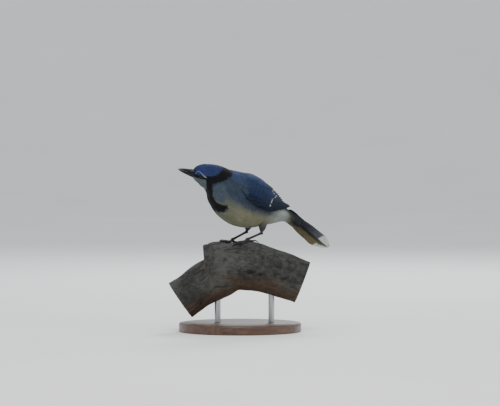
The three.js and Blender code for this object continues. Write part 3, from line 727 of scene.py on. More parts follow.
def grown_roots(surface, s_from, s_to, w_from, w_to, step_along, step_across):
    """Places for feathers in staggered rows over a stretch of a surface."""
    places = []
    s, row = s_from, 0
    while s < s_to:
        w = np.linspace(w_from, w_to, 241)
        line = surface(np.full_like(w, s), w, 0.0)
        length = np.concatenate([[0], np.cumsum(np.linalg.norm(np.diff(line, axis=0), axis=-1))])
        count = max(3, int(length[-1] / step_across))
        at = (np.arange(count) + 0.5 * (row % 2) + 0.25 + 0.22 * (rng.random(count) - 0.5)) / count * length[-1]
        angles = np.interp(at, length, w)
        step = np.linalg.norm(surface(s + 0.01, 0.5 * (w_from + w_to), 0.0)
                              - surface(s, 0.5 * (w_from + w_to), 0.0)) * 100
        jitter = 0.35 * (rng.random(count) - 0.5) * step_along / step
        places.append(np.stack([s + jitter, angles], -1))
        s += step_along / step
        row += 1
    return np.concatenate(places)


def flat_map(places, low, wide, start, size):
    """Lays places out on a map, from low and as wide as given: across by their second number, up by their first."""
    return np.stack([low[k] + wide[k] * (places[:, 1 - k] - start[k]) / size[k] for k in (0, 1)], -1)


def body_uv(places):
    """An unwrap of the skin's own shape: round it and along it."""
    return np.stack([0.01 + 0.98 * ((places[:, 1] + 270) % 360) / 360, 0.01 + 0.98 * places[:, 0] / LAST], -1)


def coat(name, roots, surface, paint_with, unwrap, length, half, low, high, rows=4, columns=8, thick=0.22,
         fringe=0.16, slot_name="pale_plumage", flip=False, tip=0.5, uneven=0.24, sway=5.0, depth=0.3):
    """Many small feathers that lie over a surface, from their roots to their frayed tips.

    length and half may vary from root to root. sway turns the tips at random, and the last argument sets a painted
    shade that darkens the roots, where they lie under other tufts."""
    count = len(roots)
    length = np.broadcast_to(length, count) * (1 + uneven * (rng.random(count) - 0.5))
    half = np.broadcast_to(half, count) * (1 + 0.8 * uneven * (rng.random(count) - 0.5))
    here = surface(roots[:, 0], roots[:, 1], 0.0)
    per_section = np.linalg.norm(surface(roots[:, 0] + 0.01, roots[:, 1], 0.0) - here, axis=-1) * 100
    turn = sway * (rng.random(count) - 0.5)
    tips = roots + np.stack([length / per_section, turn * length / 20], -1)
    v = np.linspace(-1, 1, columns + 1)
    u = np.broadcast_to(np.linspace(0, 1, rows + 1)[None, :, None], (count, rows + 1, columns + 1)).copy()
    barbs = (0.35 + 0.65 * rng.random((count, columns + 1))) * (np.arange(columns + 1) % 2)
    u[:, -1] += fringe * (barbs - 0.8 * v * v)
    u[:, -2] -= 0.3 * fringe * v * v
    across = half[:, None, None] * blade(np.minimum(u, 1), tip=tip) * v
    roll_it = 0.4 * (rng.random(count) - 0.5)[:, None, None]
    lift = low + (high - low) * np.minimum(1, u * 1.15) ** 0.7 + half[:, None, None] * (roll_it * v - 0.16 * v * v)
    lift = lift + thick * (1 - v * v) * (1 - 0.6 * np.minimum(u, 1))
    points = drape(surface, roots, tips, u, across, lift)
    tint = paint_with(*np.moveaxis(mix(roots[:, None], tips[:, None], u[:, :, columns // 2]), -1, 0))[:, :, None]
    tint = tint * (1 + 0.26 * (rng.random((count, 1, 1, 1)) - 0.5))
    # Painted shade: each tuft is darker towards its root, where it lies under other tufts
    shade = (1 - depth * (1 - np.minimum(u, 1)) ** 1.3) * (1 + 0.1 * barbs[:, None] * (u > 0.9) - 0.08 * np.abs(v))
    return tufts(name, points, tint * shade[..., None], unwrap(roots), length, u, v, slot_name, flip=flip)


# Camera and light. The camera looks along the photo's line, from far off, and keeps its framing.
PIXEL = 1.34  # millimetres for each pixel of the photo at the bird
PHOTO = (500, 406)  # its width and height
SENSOR = 36.0
FEET = (240, 242)  # the pixel over the origin at the perch's top
VIEW = {"azimuth": -32.0, "elevation": 1.5, "distance": 4.0}
LIT = (0, 0, 0.15)  # where the lights point, in metres


def aim_camera():
    data = bpy.data.cameras.new("camera")
    camera = scene.camera = linked("camera", data)
    a, e = math.radians(VIEW["azimuth"]), math.radians(VIEW["elevation"])
    back = Vector((math.sin(a) * math.cos(e), -math.cos(a) * math.cos(e), math.sin(e)))
    right = Vector((math.cos(a), math.sin(a), 0))
    up = back.cross(right)
    off = right * (PHOTO[0] / 2 - FEET[0]) * PIXEL + up * (FEET[1] - PHOTO[1] / 2) * PIXEL
    camera.location = (Vector((0, 0, PERCH_TOP)) + off) * MM + back * VIEW["distance"]
    camera.rotation_euler = back.to_track_quat("Z", "Y").to_euler()
    data.sensor_width = SENSOR
    data.lens = SENSOR * VIEW["distance"] / (PHOTO[0] * PIXEL * MM)
    data.clip_end = 50


def area_light(name, place, size, power, color=(1, 1, 1)):
    data = bpy.data.lights.new(name, "AREA")
    data.shape = "DISK"
    data.size = size
    data.energy = power
    data.color = color
    lamp = linked(name, data)
    lamp.location = place
    lamp.rotation_euler = (Vector(place) - Vector(LIT)).to_track_quat("Z", "Y").to_euler()


def studio():
    """A pale floor that curves up into a wall all round, with a large key light and a rim light from behind."""
    bm = bmesh.new()
    turn = np.radians(np.linspace(0, 90, 17))
    flat, curve, wall = 6, 3, 5  # metres
    profile = [(0, 0), *zip(flat + curve * np.sin(turn), curve - curve * np.cos(turn)), (flat + curve, wall)]
    line = [bm.verts.new((x, 0, z)) for x, z in profile]
    spun(bm, line + [bm.edges.new(pair) for pair in zip(line[:-1], line[1:])], 96)
    bmesh.ops.remove_doubles(bm, verts=bm.verts, dist=10 * WELD)
    bmesh.ops.recalc_face_normals(bm, faces=bm.faces)
    mesh = mesh_of("floor", bm)
    mesh.shade_smooth()
    mesh.materials.append(FLOOR)
    floor = linked("floor", mesh)
    world = scene.world = bpy.data.worlds.new("studio")
    world.use_nodes = True
    feed(world.node_tree, world.node_tree.nodes["Background"], Color=(0.92, 0.95, 1.0, 1), Strength=0.88)
    area_light("key", (-0.7, -1.1, 1.7), 1.0, 21, (1.0, 0.98, 0.95))
    area_light("back", (1.2, 1.3, 1.5), 0.8, 26, (0.95, 0.98, 1.0))
    area_light("fill", (1.4, -1.4, 0.5), 1.4, 4)


# Skin
COAT_DEPTH = {"head": 1.0, "body": 2.6}


def skin_depth(s):
    return COAT_DEPTH["head"] + (COAT_DEPTH["body"] - COAT_DEPTH["head"]) * smoothstep(s, 2.0, 5.0)


LEGS = {
    "left": {"heel": (25.5, -12.5, 11.5), "foot": (3.5, -11.5), "hip": (30.0, -10.0, 34.0), "turn": -3.0},
    "right": {"heel": (17.5, 12.5, 12.5), "foot": (-5.0, 12.0), "hip": (22.5, 10.0, 34.5), "turn": 4.0},
}
THIGH = {"radii": (6.8, 5.3, 2.3), "knee": (1.0, 0.0, -0.5), "end": (0.6, 0.0, 0.9)}


def rope(points, radii):
    """A place function for a tube along points, with a radius at each."""
    rows = np.column_stack([np.asarray(points, float), radii])
    last = len(rows) - 1

    def place(t, angle, grow=0.0, share=1.0):
        s = np.asarray(t, float) * last
        row = smooth(rows, s)
        way = unit((smooth(rows, np.minimum(s + 1e-2, last)) - smooth(rows, np.maximum(s - 1e-2, 0)))[..., :3])
        side = unit(np.cross(way, (0.01, 0.02, 1.0)))
        up = np.cross(side, way)
        c, n = np.cos(np.radians(angle))[..., None], np.sin(np.radians(angle))[..., None]
        r = ((row[..., 3] + grow) * share)[..., None]
        return row[..., :3] + (side * c + up * n) * r

    return place


def thigh_place(leg):
    """The feathered thigh, which closes round the heel."""
    hip, heel = (np.array(leg[k]) + (0, 0, PERCH_TOP) for k in ("hip", "heel"))
    points = [hip, hip + 0.45 * (heel - hip) + THIGH["knee"], heel + THIGH["end"]]
    line = rope(points, THIGH["radii"])

    def place(t, angle, grow=0.0, share=1.0):
        return line(t, angle, grow, share * (1 - 0.45 * smoothstep(t, 0.72, 1.0)))

    return place


def fused(name, meshes, voxel, used, slot_name, relax=2):
    """One closed surface over several closed meshes."""
    bm = bmesh.new()
    for made in meshes:
        bmesh.ops.recalc_face_normals(made, faces=made.faces)
        part = mesh_of("part", made)
        bm.from_mesh(part)
        bpy.data.meshes.remove(part)
    rough = linked(name + "_rough", mesh_of(name, bm))
    shell = rough.modifiers.new("shell", "REMESH")
    shell.mode = "VOXEL"
    shell.voxel_size = voxel * MM
    whole = bpy.data.meshes.new_from_object(rough.evaluated_get(bpy.context.evaluated_depsgraph_get()))
    bpy.data.objects.remove(rough)
    bm = bmesh.new()
    bm.from_mesh(whole)
    for _ in range(relax):
        bmesh.ops.smooth_vert(bm, verts=bm.verts, factor=0.5, use_axis_x=True, use_axis_y=True, use_axis_z=True)
    bm.to_mesh(whole)
    bm.free()
    return placed(name, whole, used, slot_name)


def body_shell():
    """The body's closed surface, inside the plumage by the coat's depth."""
    bm = bmesh.new()
    bmesh.ops.create_uvsphere(bm, u_segments=96, v_segments=144, radius=1)
    x, y, z = places_of(bm.verts).T
    t = np.arccos(np.clip(z, -1, 1)) / np.pi
    share = np.clip(np.minimum(t, 1 - t) / 0.03, 0, 1) ** 0.5
    s = LAST * np.clip((t - 0.02) / 0.96, 0, 1)
    return move_to(bm, body(s, np.degrees(np.arctan2(y, x)), -skin_depth(s), share))


def thigh_shell(leg):
    place = thigh_place(leg)
    return tube(lambda t, angle, share: place(t, angle, -1.2, share), 32, 24)


def make_skin():
    skin = fused("skin", [body_shell(), *(thigh_shell(leg) for leg in LEGS.values())], 1.2, SKIN, "pale_plumage")
    s, a = (g.ravel() for g in np.meshgrid(np.linspace(0, LAST, 241), np.arange(-180, 180, 2.5), indexing="ij"))
    tree = KDTree(len(s))
    for i, point in enumerate(body(s, a, -skin_depth(s)) * MM):
        tree.insert(point, i)
    tree.balance()
    nearest = np.array([tree.find(v.co)[1] for v in skin.data.vertices])
    paint(skin.data, markings(s[nearest], a[nearest]))
    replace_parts(skin, "head", "neck", "torso", "rump", "thigh_left", "thigh_right")


def near_eye(roots):
    """Which feathers would lie over an eye."""
    close = np.zeros(len(roots), bool)
    for angle in (EYE["angle"], 180 - EYE["angle"]):
        for ahead in (0.0, 0.13):
            points = body(roots[:, 0] + ahead, roots[:, 1])
            close |= np.linalg.norm(points - body(EYE["s"], angle), axis=-1) < EYE["bare"]
    return close


def stretch(s_from, s_to, low, high, step_along, step_across):
    """Roots on head or body between two heights on the side, on both sides."""
    roots = grown_roots(body, s_from, s_to, -270.0, 90.0, step_along, step_across)
    b = on_side(roots[:, 1])
    roots = roots[(b >= low) & (b <= high) & (roots[:, 0] > 0.02)]
    return roots[~near_eye(roots)]


def thigh_tone(t, _):
    return mix(0.85 * BELLY, linear(66, 66, 68), smoothstep(t, 0.2, 0.9))


def body_coat(name, roots, length, half, low, high, slot_name, surface=body, **look):
    """A coat of head or body, with their markings."""
    coat(f"{name}_feathers", roots, surface, markings, body_uv, length, half, low, high, slot_name=slot_name, **look)


def make_coats():
    face = stretch(0.1, 2.9, -44, 26, 0.7, 0.66)
    body_coat("face", face, 2.1 + 0.3 * face[:, 0], 0.46 + 0.08 * face[:, 0], -0.45, 0.12, "dark_plumage",
              rows=3, columns=4, thick=0.12, depth=0.18)
    forehead = stretch(0.12, 1.7, 25, 90, 0.8, 0.75)
    body_coat("forehead", forehead, 3.2, 0.6, -0.7, 0.1, "blue_plumage", rows=3, columns=4, thick=0.14)
    crown = stretch(1.6, 4.1, 22, 90, 1.25, 1.05)
    crest = smoothstep(on_side(crown[:, 1]), 40, 80) * smoothstep(crown[:, 0], 1.6, 2.6)
    body_coat("crown", crown, 4.6 + 8.0 * crest, 0.95 + 0.7 * crest, -0.9, 0.3, "blue_plumage",
              fringe=0.14, columns=6)
    throat = stretch(0.12, 3.2, -90, -42, 1.1, 0.95)
    body_coat("throat", throat, 3.8, 0.95, -0.7, 0.1, "pale_plumage", fringe=0.25, columns=4)
    neck = stretch(2.8, 5.1, -90, 90, 1.6, 1.4)
    neck = neck[(neck[:, 0] < 4.75) | (above_edge(*neck.T) < 0)]
    back_on = neck[:, 0] - 2.8
    body_coat("neck", neck, 5.5 + 1.2 * back_on, 1.5 + 0.25 * back_on, -1.5, 0.2, "dark_plumage", columns=6)
    breast = stretch(5.0, 8.4, -90, 8, 2.1, 1.75)
    breast = breast[above_edge(*breast.T) < 2]
    body_coat("breast", breast, 10.5, 2.5, -2.4, 0.25, "pale_plumage", fringe=0.22, depth=0.22)
    belly = stretch(8.3, 11.9, -90, 14, 2.1, 1.75)
    body_coat("belly", belly, 12.0, 2.6, -2.4, 0.25, "white_plumage", fringe=0.24, depth=0.2)
    back = stretch(4.6, 11.8, -40, 90, 2.1, 1.8)
    w = above_edge(*back.T)
    front = 5.4 + 0.2 * np.clip(6 - w, 0, 9) + 1.4 * smoothstep(w, 14, 30) + 6 * smoothstep(w, 30, 32)
    back = back[(w > -3) & (back[:, 0] < front)]
    body_coat("back", back, 8.0 + 3.0 * smoothstep(back[:, 0], 4.6, 6.0), 2.5, -1.6, 0.7, "blue_plumage", plumage)
    for name, leg in LEGS.items():
        surface = thigh_place(leg)
        roots = grown_roots(surface, 0.15, 0.95, -180.0, 180.0, 1.1, 1.0)
        unwrap = partial(flat_map, low=(0.01, 0.01), wide=(0.98, 0.98), start=(-180, 0), size=(360, 1))
        coat(f"thigh_feathers_{name}", roots, surface, thigh_tone, unwrap, 4.0 + 4.5 * (1 - roots[:, 0]), 1.0,
             -0.9, 0.35, fringe=0.34, columns=6, thick=0.12, sway=16, uneven=0.4)


# Wings and tail
PRIMARY_TIPS = np.array([(9.2, 1.4), (10.0, 2.0), (10.55, 2.8), (10.9, 4.0), (10.7, 6.4)])
# The closed wing's tiers. k runs from 0 to span over a tier's feathers, and each line gives a start and a step in
# k: root is (section, start, step), tip is (start, step) of the section and of the place above the edge.
TIER_FIELDS = ("count", "span", "half", "tilt", "low", "rise", "barred", "white", "root", "tip", "high")
TIERS = {
    "primaries": (8, 4, 3.4, 0.7, 1.65, 0.3, 0.0, 0.0, (6.3, 3, 2.4), None, (1.75, 0.3)),
    "inner_primaries": (7, 5, 3.8, 0.8, 1.7, 0.3, 0.0, 0.0, (6.6, 8, 3.4), (9.98, -0.17, 9, 3.7), (2.4, 0.08)),
    "secondaries": (9, 4, 4.4, 1.05, 1.9, 0.4, 0.6, 1.9, (6.4, 5, 5), (8.52, 0, 5, 5.2), (4.0, -0.34)),
    "tertials": (4, 2, 5.2, 1.3, 1.9, 0.4, 0.65, 1.8, (6.7, 27, 4), (8.6, 0.2, 29, 3.3), (3.1, -0.1)),
    "greater_coverts": (9, 4, 3.6, 1.0, 1.4, 0.9, 0.45, 0.0, (6.05, 4, 5), (7.7, 0.03, 3.5, 5.3), (5.9, -0.36)),
    "median_coverts": (9, 4, 3.3, 0.9, 0.2, 1.0, 0.0, 0.0, (5.5, 6, 5), (6.8, 0.04, 4.5, 6), (4.9, -0.28)),
}


def tier_lines(kind, count, span, root, tip, high):
    """Roots, tips and heights of a tier's feathers."""
    k = np.linspace(0, span, count)
    if tip is None:
        tips = smooth(PRIMARY_TIPS, k)
    else:
        tips = np.stack([tip[0] + tip[1] * k, tip[2] + tip[3] * k], -1)
    if kind == "secondaries":  # their tips step out above the wing's middle, so the white ends zigzag
        tips[:, 0] += 0.4 * np.exp(-(((k - 2.4) / 0.6) ** 2))
    return np.stack([np.full(count, root[0]), root[1] + root[2] * k], -1), tips, high[0] + high[1] * k


ACROSS = np.array([-1, -0.75, -0.5, -0.25, -0.08, 0.0, 0.08, 0.25, 0.5, 0.75, 1.0])
SHAFT_RISE = 0.22
VANE_THICK = 0.4


def vane_section(count, rows):
    """Places along and across big feathers, with the shaft's ridge, small splits at the edges and thin rims."""
    u = np.broadcast_to(np.linspace(0, 1, rows + 1)[None, :, None], (count, rows + 1, len(ACROSS))).copy()
    splits = 1 - 0.12 * (rng.random((count, rows + 1, 1)) > 0.9)
    ridge = SHAFT_RISE * np.exp(-(ACROSS / 0.07) ** 2) * (1 - 0.7 * u)
    thin = VANE_THICK * (1 - 0.75 * np.abs(ACROSS) ** 1.5)
    return u, splits, ridge, thin


def tip_share(from_tip, white, soft):
    """0 on a feather's white tip and 1 beyond it."""
    edge = smoothstep(from_tip + 1.3 * np.abs(ACROSS), white - soft, white + 0.8 * soft)
    return np.where(white > 0, edge, 1.0)


def big_feathers(name, surface, lines, half, tilt, low, rise, tone, barred, slot_name, white, flip, rows=16):
    roots, tips, high = lines
    count = len(roots)
    u, splits, ridge, thin = vane_section(count, rows)
    across = half * blade(u) * np.where(np.abs(ACROSS) > 0.7, splits, 1.0) * ACROSS
    lift = low + (high - low)[:, None, None] * np.minimum(1, u / rise) ** 0.8
    lift = lift - tilt * ACROSS * np.minimum(1, 3 * u) - 0.3 * ACROSS ** 2
    points = np.stack([drape(surface, roots, tips, u, across, lift + side * thin / 2 + (side > 0) * ridge)
                       for side in (-1, 1)], 1)
    length = np.linalg.norm(surface(tips[:, 0], tips[:, 1], 1.0) - surface(roots[:, 0], roots[:, 1], 1.0), axis=-1)
    from_tip = (1 - u) * length[:, None, None]
    # Painted shade: darker towards the folded wing's lower edge
    shades = tone * (1 + 0.2 * (rng.random((count, 1, 1, 1)) - 0.5)) * painted_wing_shade(tips[:, 1])[:, None, None, None]
    shades = shades * (1 - 0.4 * (ACROSS > 0.1) + 0.35 * (ACROSS < -0.8))[:, None]
    tint = mix(WHITE, shades, tip_share(from_tip, white, 0.8))[:, None]
    marks = barred * smoothstep(from_tip, white + 1.5, white + 3.0) * (ACROSS < 0.6)
    return vanes(name, points, tint, length, u, slot_name, marks[:, None], 4, flip)


def painted_wing_shade(w):
    """Painted shade: the folded wing is painted darker towards its lower edge, away from the light from above."""
    return 0.36 + 0.64 * smoothstep(w, 2, 20)


def covert_tone(s, w):
    """The small coverts take the side's colour in front and the wing's behind, with the wing's painted shade."""
    front = mix(SLATE, MANTLE, smoothstep(w, 8, 26))
    return mix(front, WING_BLUE * painted_wing_shade(w)[..., None], smoothstep(s + 0.012 * w, 5.95, 6.75))


wing_uv = partial(flat_map, low=(0.02, 0.02), wide=(0.96, 0.96), start=(-5, 4.5), size=(60, 7))


def shoulder_pad(surface, flip):
    """The shoulder under the small coverts."""
    bm = bmesh.new()
    bmesh.ops.create_grid(bm, x_segments=30, y_segments=30, size=0.5)
    flat = places_of(bm.verts) + 0.5
    move_to(bm, surface(5.4 + 1.8 * flat[:, 1], 1 + 32 * flat[:, 0], -2.4))
    bmesh.ops.solidify(bm, geom=bm.faces, thickness=(-0.4 if flip else 0.4) * MM)
    return bm


def make_wing(name, over, flip):
    """over puts points of the left wing on this one."""
    def on_body(s, w, height=0.0):
        return wing(s, w, height) * over

    def on_coverts(s, w, height=0.0):
        return coverts(s, w, height) * over

    look = {"slot_name": "blue_plumage", "flip": flip}
    pieces = []
    for kind, row in TIERS.items():
        fields = dict(zip(TIER_FIELDS, row))
        lines = tier_lines(kind, *(fields.pop(key) for key in ("count", "span", "root", "tip", "high")))
        tone = PRIMARY if kind.endswith("primaries") else WING_BLUE
        pieces.append(big_feathers(f"{kind}_{name}", on_body, lines, tone=tone, **fields, **look))
    roots = grown_roots(on_coverts, 5.5, 6.45, -1.0, 33.0, 1.6, 1.5)
    pieces.append(coat(f"small_coverts_{name}", roots, on_coverts, covert_tone, wing_uv, 6.5, 1.9, -1.8, 0.15,
                       tip=0.4, fringe=0.1, **look))
    roots = grown_roots(on_coverts, 5.7, 7.15, 24.0, 41.0, 3.2, 2.8)
    pieces.append(coat(f"scapulars_{name}", roots, on_coverts, lambda s, w: np.ones(s.shape + (1,)) * MANTLE,
                       wing_uv, 13.0, 3.3, -0.6, 1.2, tip=0.4, fringe=0.06, rows=6, **look))
    pad = finished(f"shoulder_{name}", shoulder_pad(on_coverts, flip), SKIN, "blue_plumage")
    paint(pad.data, WING_BLUE)
    for piece in [*pieces, pad]:
        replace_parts(piece, f"wing_{name}")


def tail_under(along, across):
    """The undersides' colour: slate on the left, painted warm light reflected from below on the right, dark at the
    root, and a painted shadow down the middle where the fan's two halves meet.
    """
    root = fade(along, 20, 48)
    # Painted shadow down the middle, where the fan's two halves meet
    middle = np.exp(-((across + 0.5) / 3.6) ** 2) * (1 - 0.6 * smoothstep(along, 20, 55))
    left = mix(TAIL_UNDER, TAIL_DARK, 0.85 * root)
    # Painted warm light reflected from below, on the right half's underside
    right = TAIL_BOUNCE * (1 - 0.25 * root)[..., None]
    return mix(mix(left, right, smoothstep(across, -3.0, 2.5)), TAIL_SHADE, 0.85 * middle)


def make_tail():
    """Twelve feathers in the tail's plane, the middle pair on top."""
    i = np.tile(np.arange(TAIL["pairs"]), 2)
    side = np.repeat([-1, 1], TAIL["pairs"])
    count, rows = len(i), 28
    angle, root = (np.where(side < 0, SPREAD["left"][k], SPREAD["right"][k]) for k in (0, 1))
    angle = np.radians(side * angle * (i + 0.45) / TAIL["pairs"])[:, None, None]
    height = TAIL["step"] * np.where(side > 0, 0.5 - i, 1 - i)
    length = (TAIL["length"] - 3 - 1.5 * i - 0.22 * i * i)[:, None, None]
    half = (7.8 - 0.2 * i)[:, None, None]
    u, splits, ridge, thin = vane_section(count, rows)
    along = 3 + u * length
    wide = half * blade(u) * np.where(np.abs(ACROSS) > 0.7, splits, 1.0) * ACROSS
    across = (side * root * i)[:, None, None] + along * np.sin(angle) + wide * np.cos(angle)
    lift = height[:, None, None] - 0.4 * (across / 25) ** 2 - 0.35 * ACROSS ** 2
    # The tail's sides are mirrored by tail_side, so its faces keep their way.
    points = np.stack([tail_point(along * np.cos(angle) - wide * np.sin(angle), across,
                                  lift + face * thin / 2 + (face > 0) * ridge) for face in (-1, 1)], 1)
    from_tip = (1 - u) * length
    reach = np.where(side < 0, 3 + 1.7 * i, 1.2 + 0.8 * i)[:, None, None]
    top = TAIL_BLUE * (1 + 0.16 * (rng.random((count, 1, 1, 1)) - 0.5))
    edge = tip_share(from_tip, reach, 1.1)
    tint = np.stack([mix(WHITE, face, edge) for face in (tail_under(along, across), top)], 1)
    marks = np.stack([0 * from_tip, 0.7 * smoothstep(from_tip, reach + 1.5, reach + 4)], 1)
    feathers = vanes("tail_feathers", points, tint, length[:, 0, 0], u, "blue_plumage", marks, 3)
    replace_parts(feathers, "tail")


def over_tail(s, w, height=0.0):
    """Over the tail's root: s counts centimetres along it and w millimetres across it."""
    return tail_point(10 * s, w, 2.1 - 0.032 * w * w - 0.4 * s + height)


def under_tail(s, w, height=0.0):
    return tail_point(10 * s, w + 0.8, -8.4 + 0.028 * w * w + 0.9 * np.maximum(s, 0) - height)


def make_tail_coverts():
    unwrap = partial(flat_map, low=(0.05, 0.05), wide=(0.9, 0.9), start=(-11, -1.5), size=(22, 4))

    def upper_tone(s, _):
        return np.broadcast_to(RUMP, s.shape + (3,))

    def under_tone(s, w):
        # Painted shade under the tail at the front, fading into the undersides' colours
        return mix(VENT_SHADE, tail_under(10 * s, w + 0.8), smoothstep(s, -1.3, -0.2))

    for name, surface, tone, reach, flip, slot_name in (
            ("upper_tail_coverts", over_tail, upper_tone, 1.1, False, "blue_plumage"),
            ("under_tail_coverts", under_tail, under_tone, 0.5, True, "dark_plumage")):
        roots = grown_roots(surface, -1.2, reach, -10.0, 10.0, 1.9, 1.5)
        roots = roots[np.abs(roots[:, 1]) < 10.0 - 4.0 * smoothstep(roots[:, 0], -0.2, reach + 0.4)]
        piece = coat(name, roots, surface, tone, unwrap, 11.0, 2.0, -1.0, 0.4, slot_name=slot_name, flip=flip,
                     fringe=0.24, rows=5, sway=12)
        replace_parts(piece, "rump")


# Bill and eyes
bill_rise = math.radians(BILL["rise"])
bill_way = np.array([-math.cos(bill_rise), 0, math.sin(bill_rise)])
bill_up = np.array([math.sin(bill_rise), 0, math.cos(bill_rise)])
bill_root = np.array([SECTIONS[0][0] + BILL["sunk"], 0, SECTIONS[0][1] - 0.6 + PERCH_TOP])


def bill_point(along, across, high):
    along, across, high = (np.asarray(x, float)[..., None] for x in (along, across, high))
    return turned(bill_root + along * bill_way + across * np.array([0, 1.0, 0]) + high * bill_up, 1.0)


def mandible(upper):
    """A place function over one half of the bill, with share 1 on its surface."""
    depth = BILL["upper"] if upper else BILL["lower"]
    reach = BILL["length"] - (0 if upper else 2)
    gap = 0.12

    def place(t, angle, share):
        a = np.radians(angle)
        on = reach * np.maximum(t, 0) ** 0.9
        q = np.clip(on / reach, 0, 1)
        taper = np.sqrt(np.maximum(1 - q ** 1.8, 0)) * (1 - 0.25 * q)
        ridge = np.abs(np.sin(a)) ** 0.85
        high = ridge * depth * taper * share
        wide = np.cos(a) * BILL["width"] / 2 * taper * (1 - 0.2 * q) * share
        outer = (np.sin(a) > 0) if upper else (np.sin(a) < 0)
        lift = np.where(outer, high, 0.0) * (1 if upper else -1)
        if upper:
            pit = np.exp(-(((on - 7.4) / 1.5) ** 2 + ((lift - 2.6) / 0.7) ** 2))
            wide = wide * (1 - 0.22 * pit)
        hook = -BILL["hook"] * (on / BILL["length"]) ** 4
        return bill_point(on, wide, lift + hook + (gap if upper else -gap))

    return place


def make_bill():
    root = bill_point(0, 0, 0)
    way = unit(bill_point(10, 0, 0) - root)
    for name, upper in (("bill_upper", True), ("bill_lower", False)):
        piece = finished(name + "_horn", tube(mandible(upper), 48, 48), HORN, "dark_horn")
        along = (places_of(piece.data.vertices) / MM - root) @ way
        paint(piece.data, mix(linear(22, 21, 25), linear(62, 47, 40), smoothstep(along, 16, 23)))
        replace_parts(piece, name)


def make_bristles():
    """Short stiff feathers that lie forward over the bill's base: pale at its sides, dark along the gape."""
    place = mandible(True)

    def over_bill(t, angle, height=0.0):
        return place(t, angle, 1 + height / 4.0)

    roots = grown_roots(over_bill, 0.035, 0.15, 6.0, 174.0, 0.62, 0.5)
    side = on_side(roots[:, 1])

    def tone(t, angle):
        pale = smoothstep(on_side(angle), 12, 26) * (1 - 0.75 * smoothstep(on_side(angle), 58, 78))
        return mix(BLACK, linear(74, 82, 91), 0.1 + 0.9 * pale * smoothstep(t, 0.02, 0.12))

    piece = coat("nasal_bristles", roots, over_bill, tone,
                 lambda at: np.stack([0.05 + 0.9 * at[:, 1] / 180, 0.1 + 4 * at[:, 0]], -1),
                 3.6 - 0.012 * side, 0.3, -0.25, 0.28, rows=4, columns=4, thick=0.1, fringe=0.3,
                 slot_name="dark_plumage", flip=True, tip=0.85, sway=10.0, uneven=0.5)
    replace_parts(piece, "head")


def make_eyes():
    for name, angle in (("left", EYE["angle"]), ("right", 180 - EYE["angle"])):
        here = body(EYE["s"], angle)
        along = body(EYE["s"] + 0.05, angle) - body(EYE["s"] - 0.05, angle)
        out = np.cross(body(EYE["s"], angle + 1) - body(EYE["s"], angle - 1), along)
        out = unit(out * np.sign(out @ (body(EYE["s"], angle, 1.0) - here)))
        centre = here - out * EYE["sunk"]
        bm = bmesh.new()
        bmesh.ops.create_uvsphere(bm, u_segments=48, v_segments=40, radius=EYE["radius"] * MM)
        for vert in bm.verts:  # the cornea bulges a little
            polar = vert.co.angle(Vector((0, 0, 1)))
            vert.co *= 1 + 0.03 * math.exp(-((polar / 0.5) ** 2))
        polar = np.array([v.co.angle(Vector((0, 0, 1))) for v in bm.verts])
        bmesh.ops.rotate(bm, verts=bm.verts, matrix=Vector(out).to_track_quat("Z", "Y").to_matrix())
        bmesh.ops.translate(bm, verts=bm.verts, vec=Vector(centre * MM))
        ball = finished(f"eyeball_{name}", bm, WET_EYE, "eye")
        iris = smoothstep(polar, 0.33, 0.38) * fade(polar, 0.58, 0.72)
        paint(ball.data, mix(linear(5, 5, 6), linear(19, 13, 11), iris))
        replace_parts(ball, f"eye_{name}")
        forward = bill_point(20, 0, 0) - bill_point(0, 0, 0)
        forward = unit(forward - out * (forward @ out))
        lid = finished(f"lids_{name}", lid_ring(centre, out, forward), SCUTES, "dark_horn")
        paint(lid.data, linear(8, 8, 10))
        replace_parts(lid, "head")


def lid_ring(centre, out, forward):
    """Both lids: a soft rim round an opening pointed before and behind, down to the feathers' edge."""
    big, small = 3.0, 0.5
    ring = bmesh.new()
    bmesh.ops.create_circle(ring, segments=12, radius=small)
    bmesh.ops.rotate(ring, verts=ring.verts, matrix=Vector((0, 1, 0)).to_track_quat("Z", "X").to_matrix())
    bmesh.ops.translate(ring, verts=ring.verts, vec=(big, 0, 0))
    spun(ring, ring.verts[:] + ring.edges[:], 64)
    x, y, z = places_of(ring.verts).T
    turn = np.arctan2(y, x)
    share = np.clip(0.5 + 0.5 * (np.hypot(x, y) - big) / small, 0, 1)
    opening = 2.7 - 0.5 * np.abs(np.sin(turn)) ** 1.3
    r = opening + (big - opening) * share
    rim = np.sqrt(EYE["radius"] ** 2 - opening ** 2) + 0.1
    high = rim + (EYE["sunk"] - 0.6 - rim) * share ** 2 + z / small * 0.22
    ahead, up = (np.cos(turn) * r)[:, None], (np.sin(turn) * r)[:, None]
    return move_to(ring, centre + forward * ahead + np.cross(out, forward) * up + out * high[:, None])


# Branch
RIGHT_ARM = np.array([(84, -54, 29.5), (62, -45.5, 30), (38, -38, 31), (13.4, -33, 32.4), (-12, -31.4, 32),
                      (-32, -31.5, 31.5), (-47, -33, 29)], float)
LEFT_ARM = np.array([(2, -34, 24), (-22, -43, 29), (-46.9, -55.5, 28.4), (-64, -67, 27.5), (-80, -78, 27.5)], float)
BUMPS = ((3, 2.1, 0.7), (5, -1.7, 0.5), (2, 3.3, 0.6))  # lobes round it, drift along it and size


def branch_point(along, deep, up):
    c, n = math.cos(math.radians(YAW)), math.sin(math.radians(YAW))
    return np.stack([along * c + deep * n, -along * n + deep * c, up + PERCH_TOP], -1)


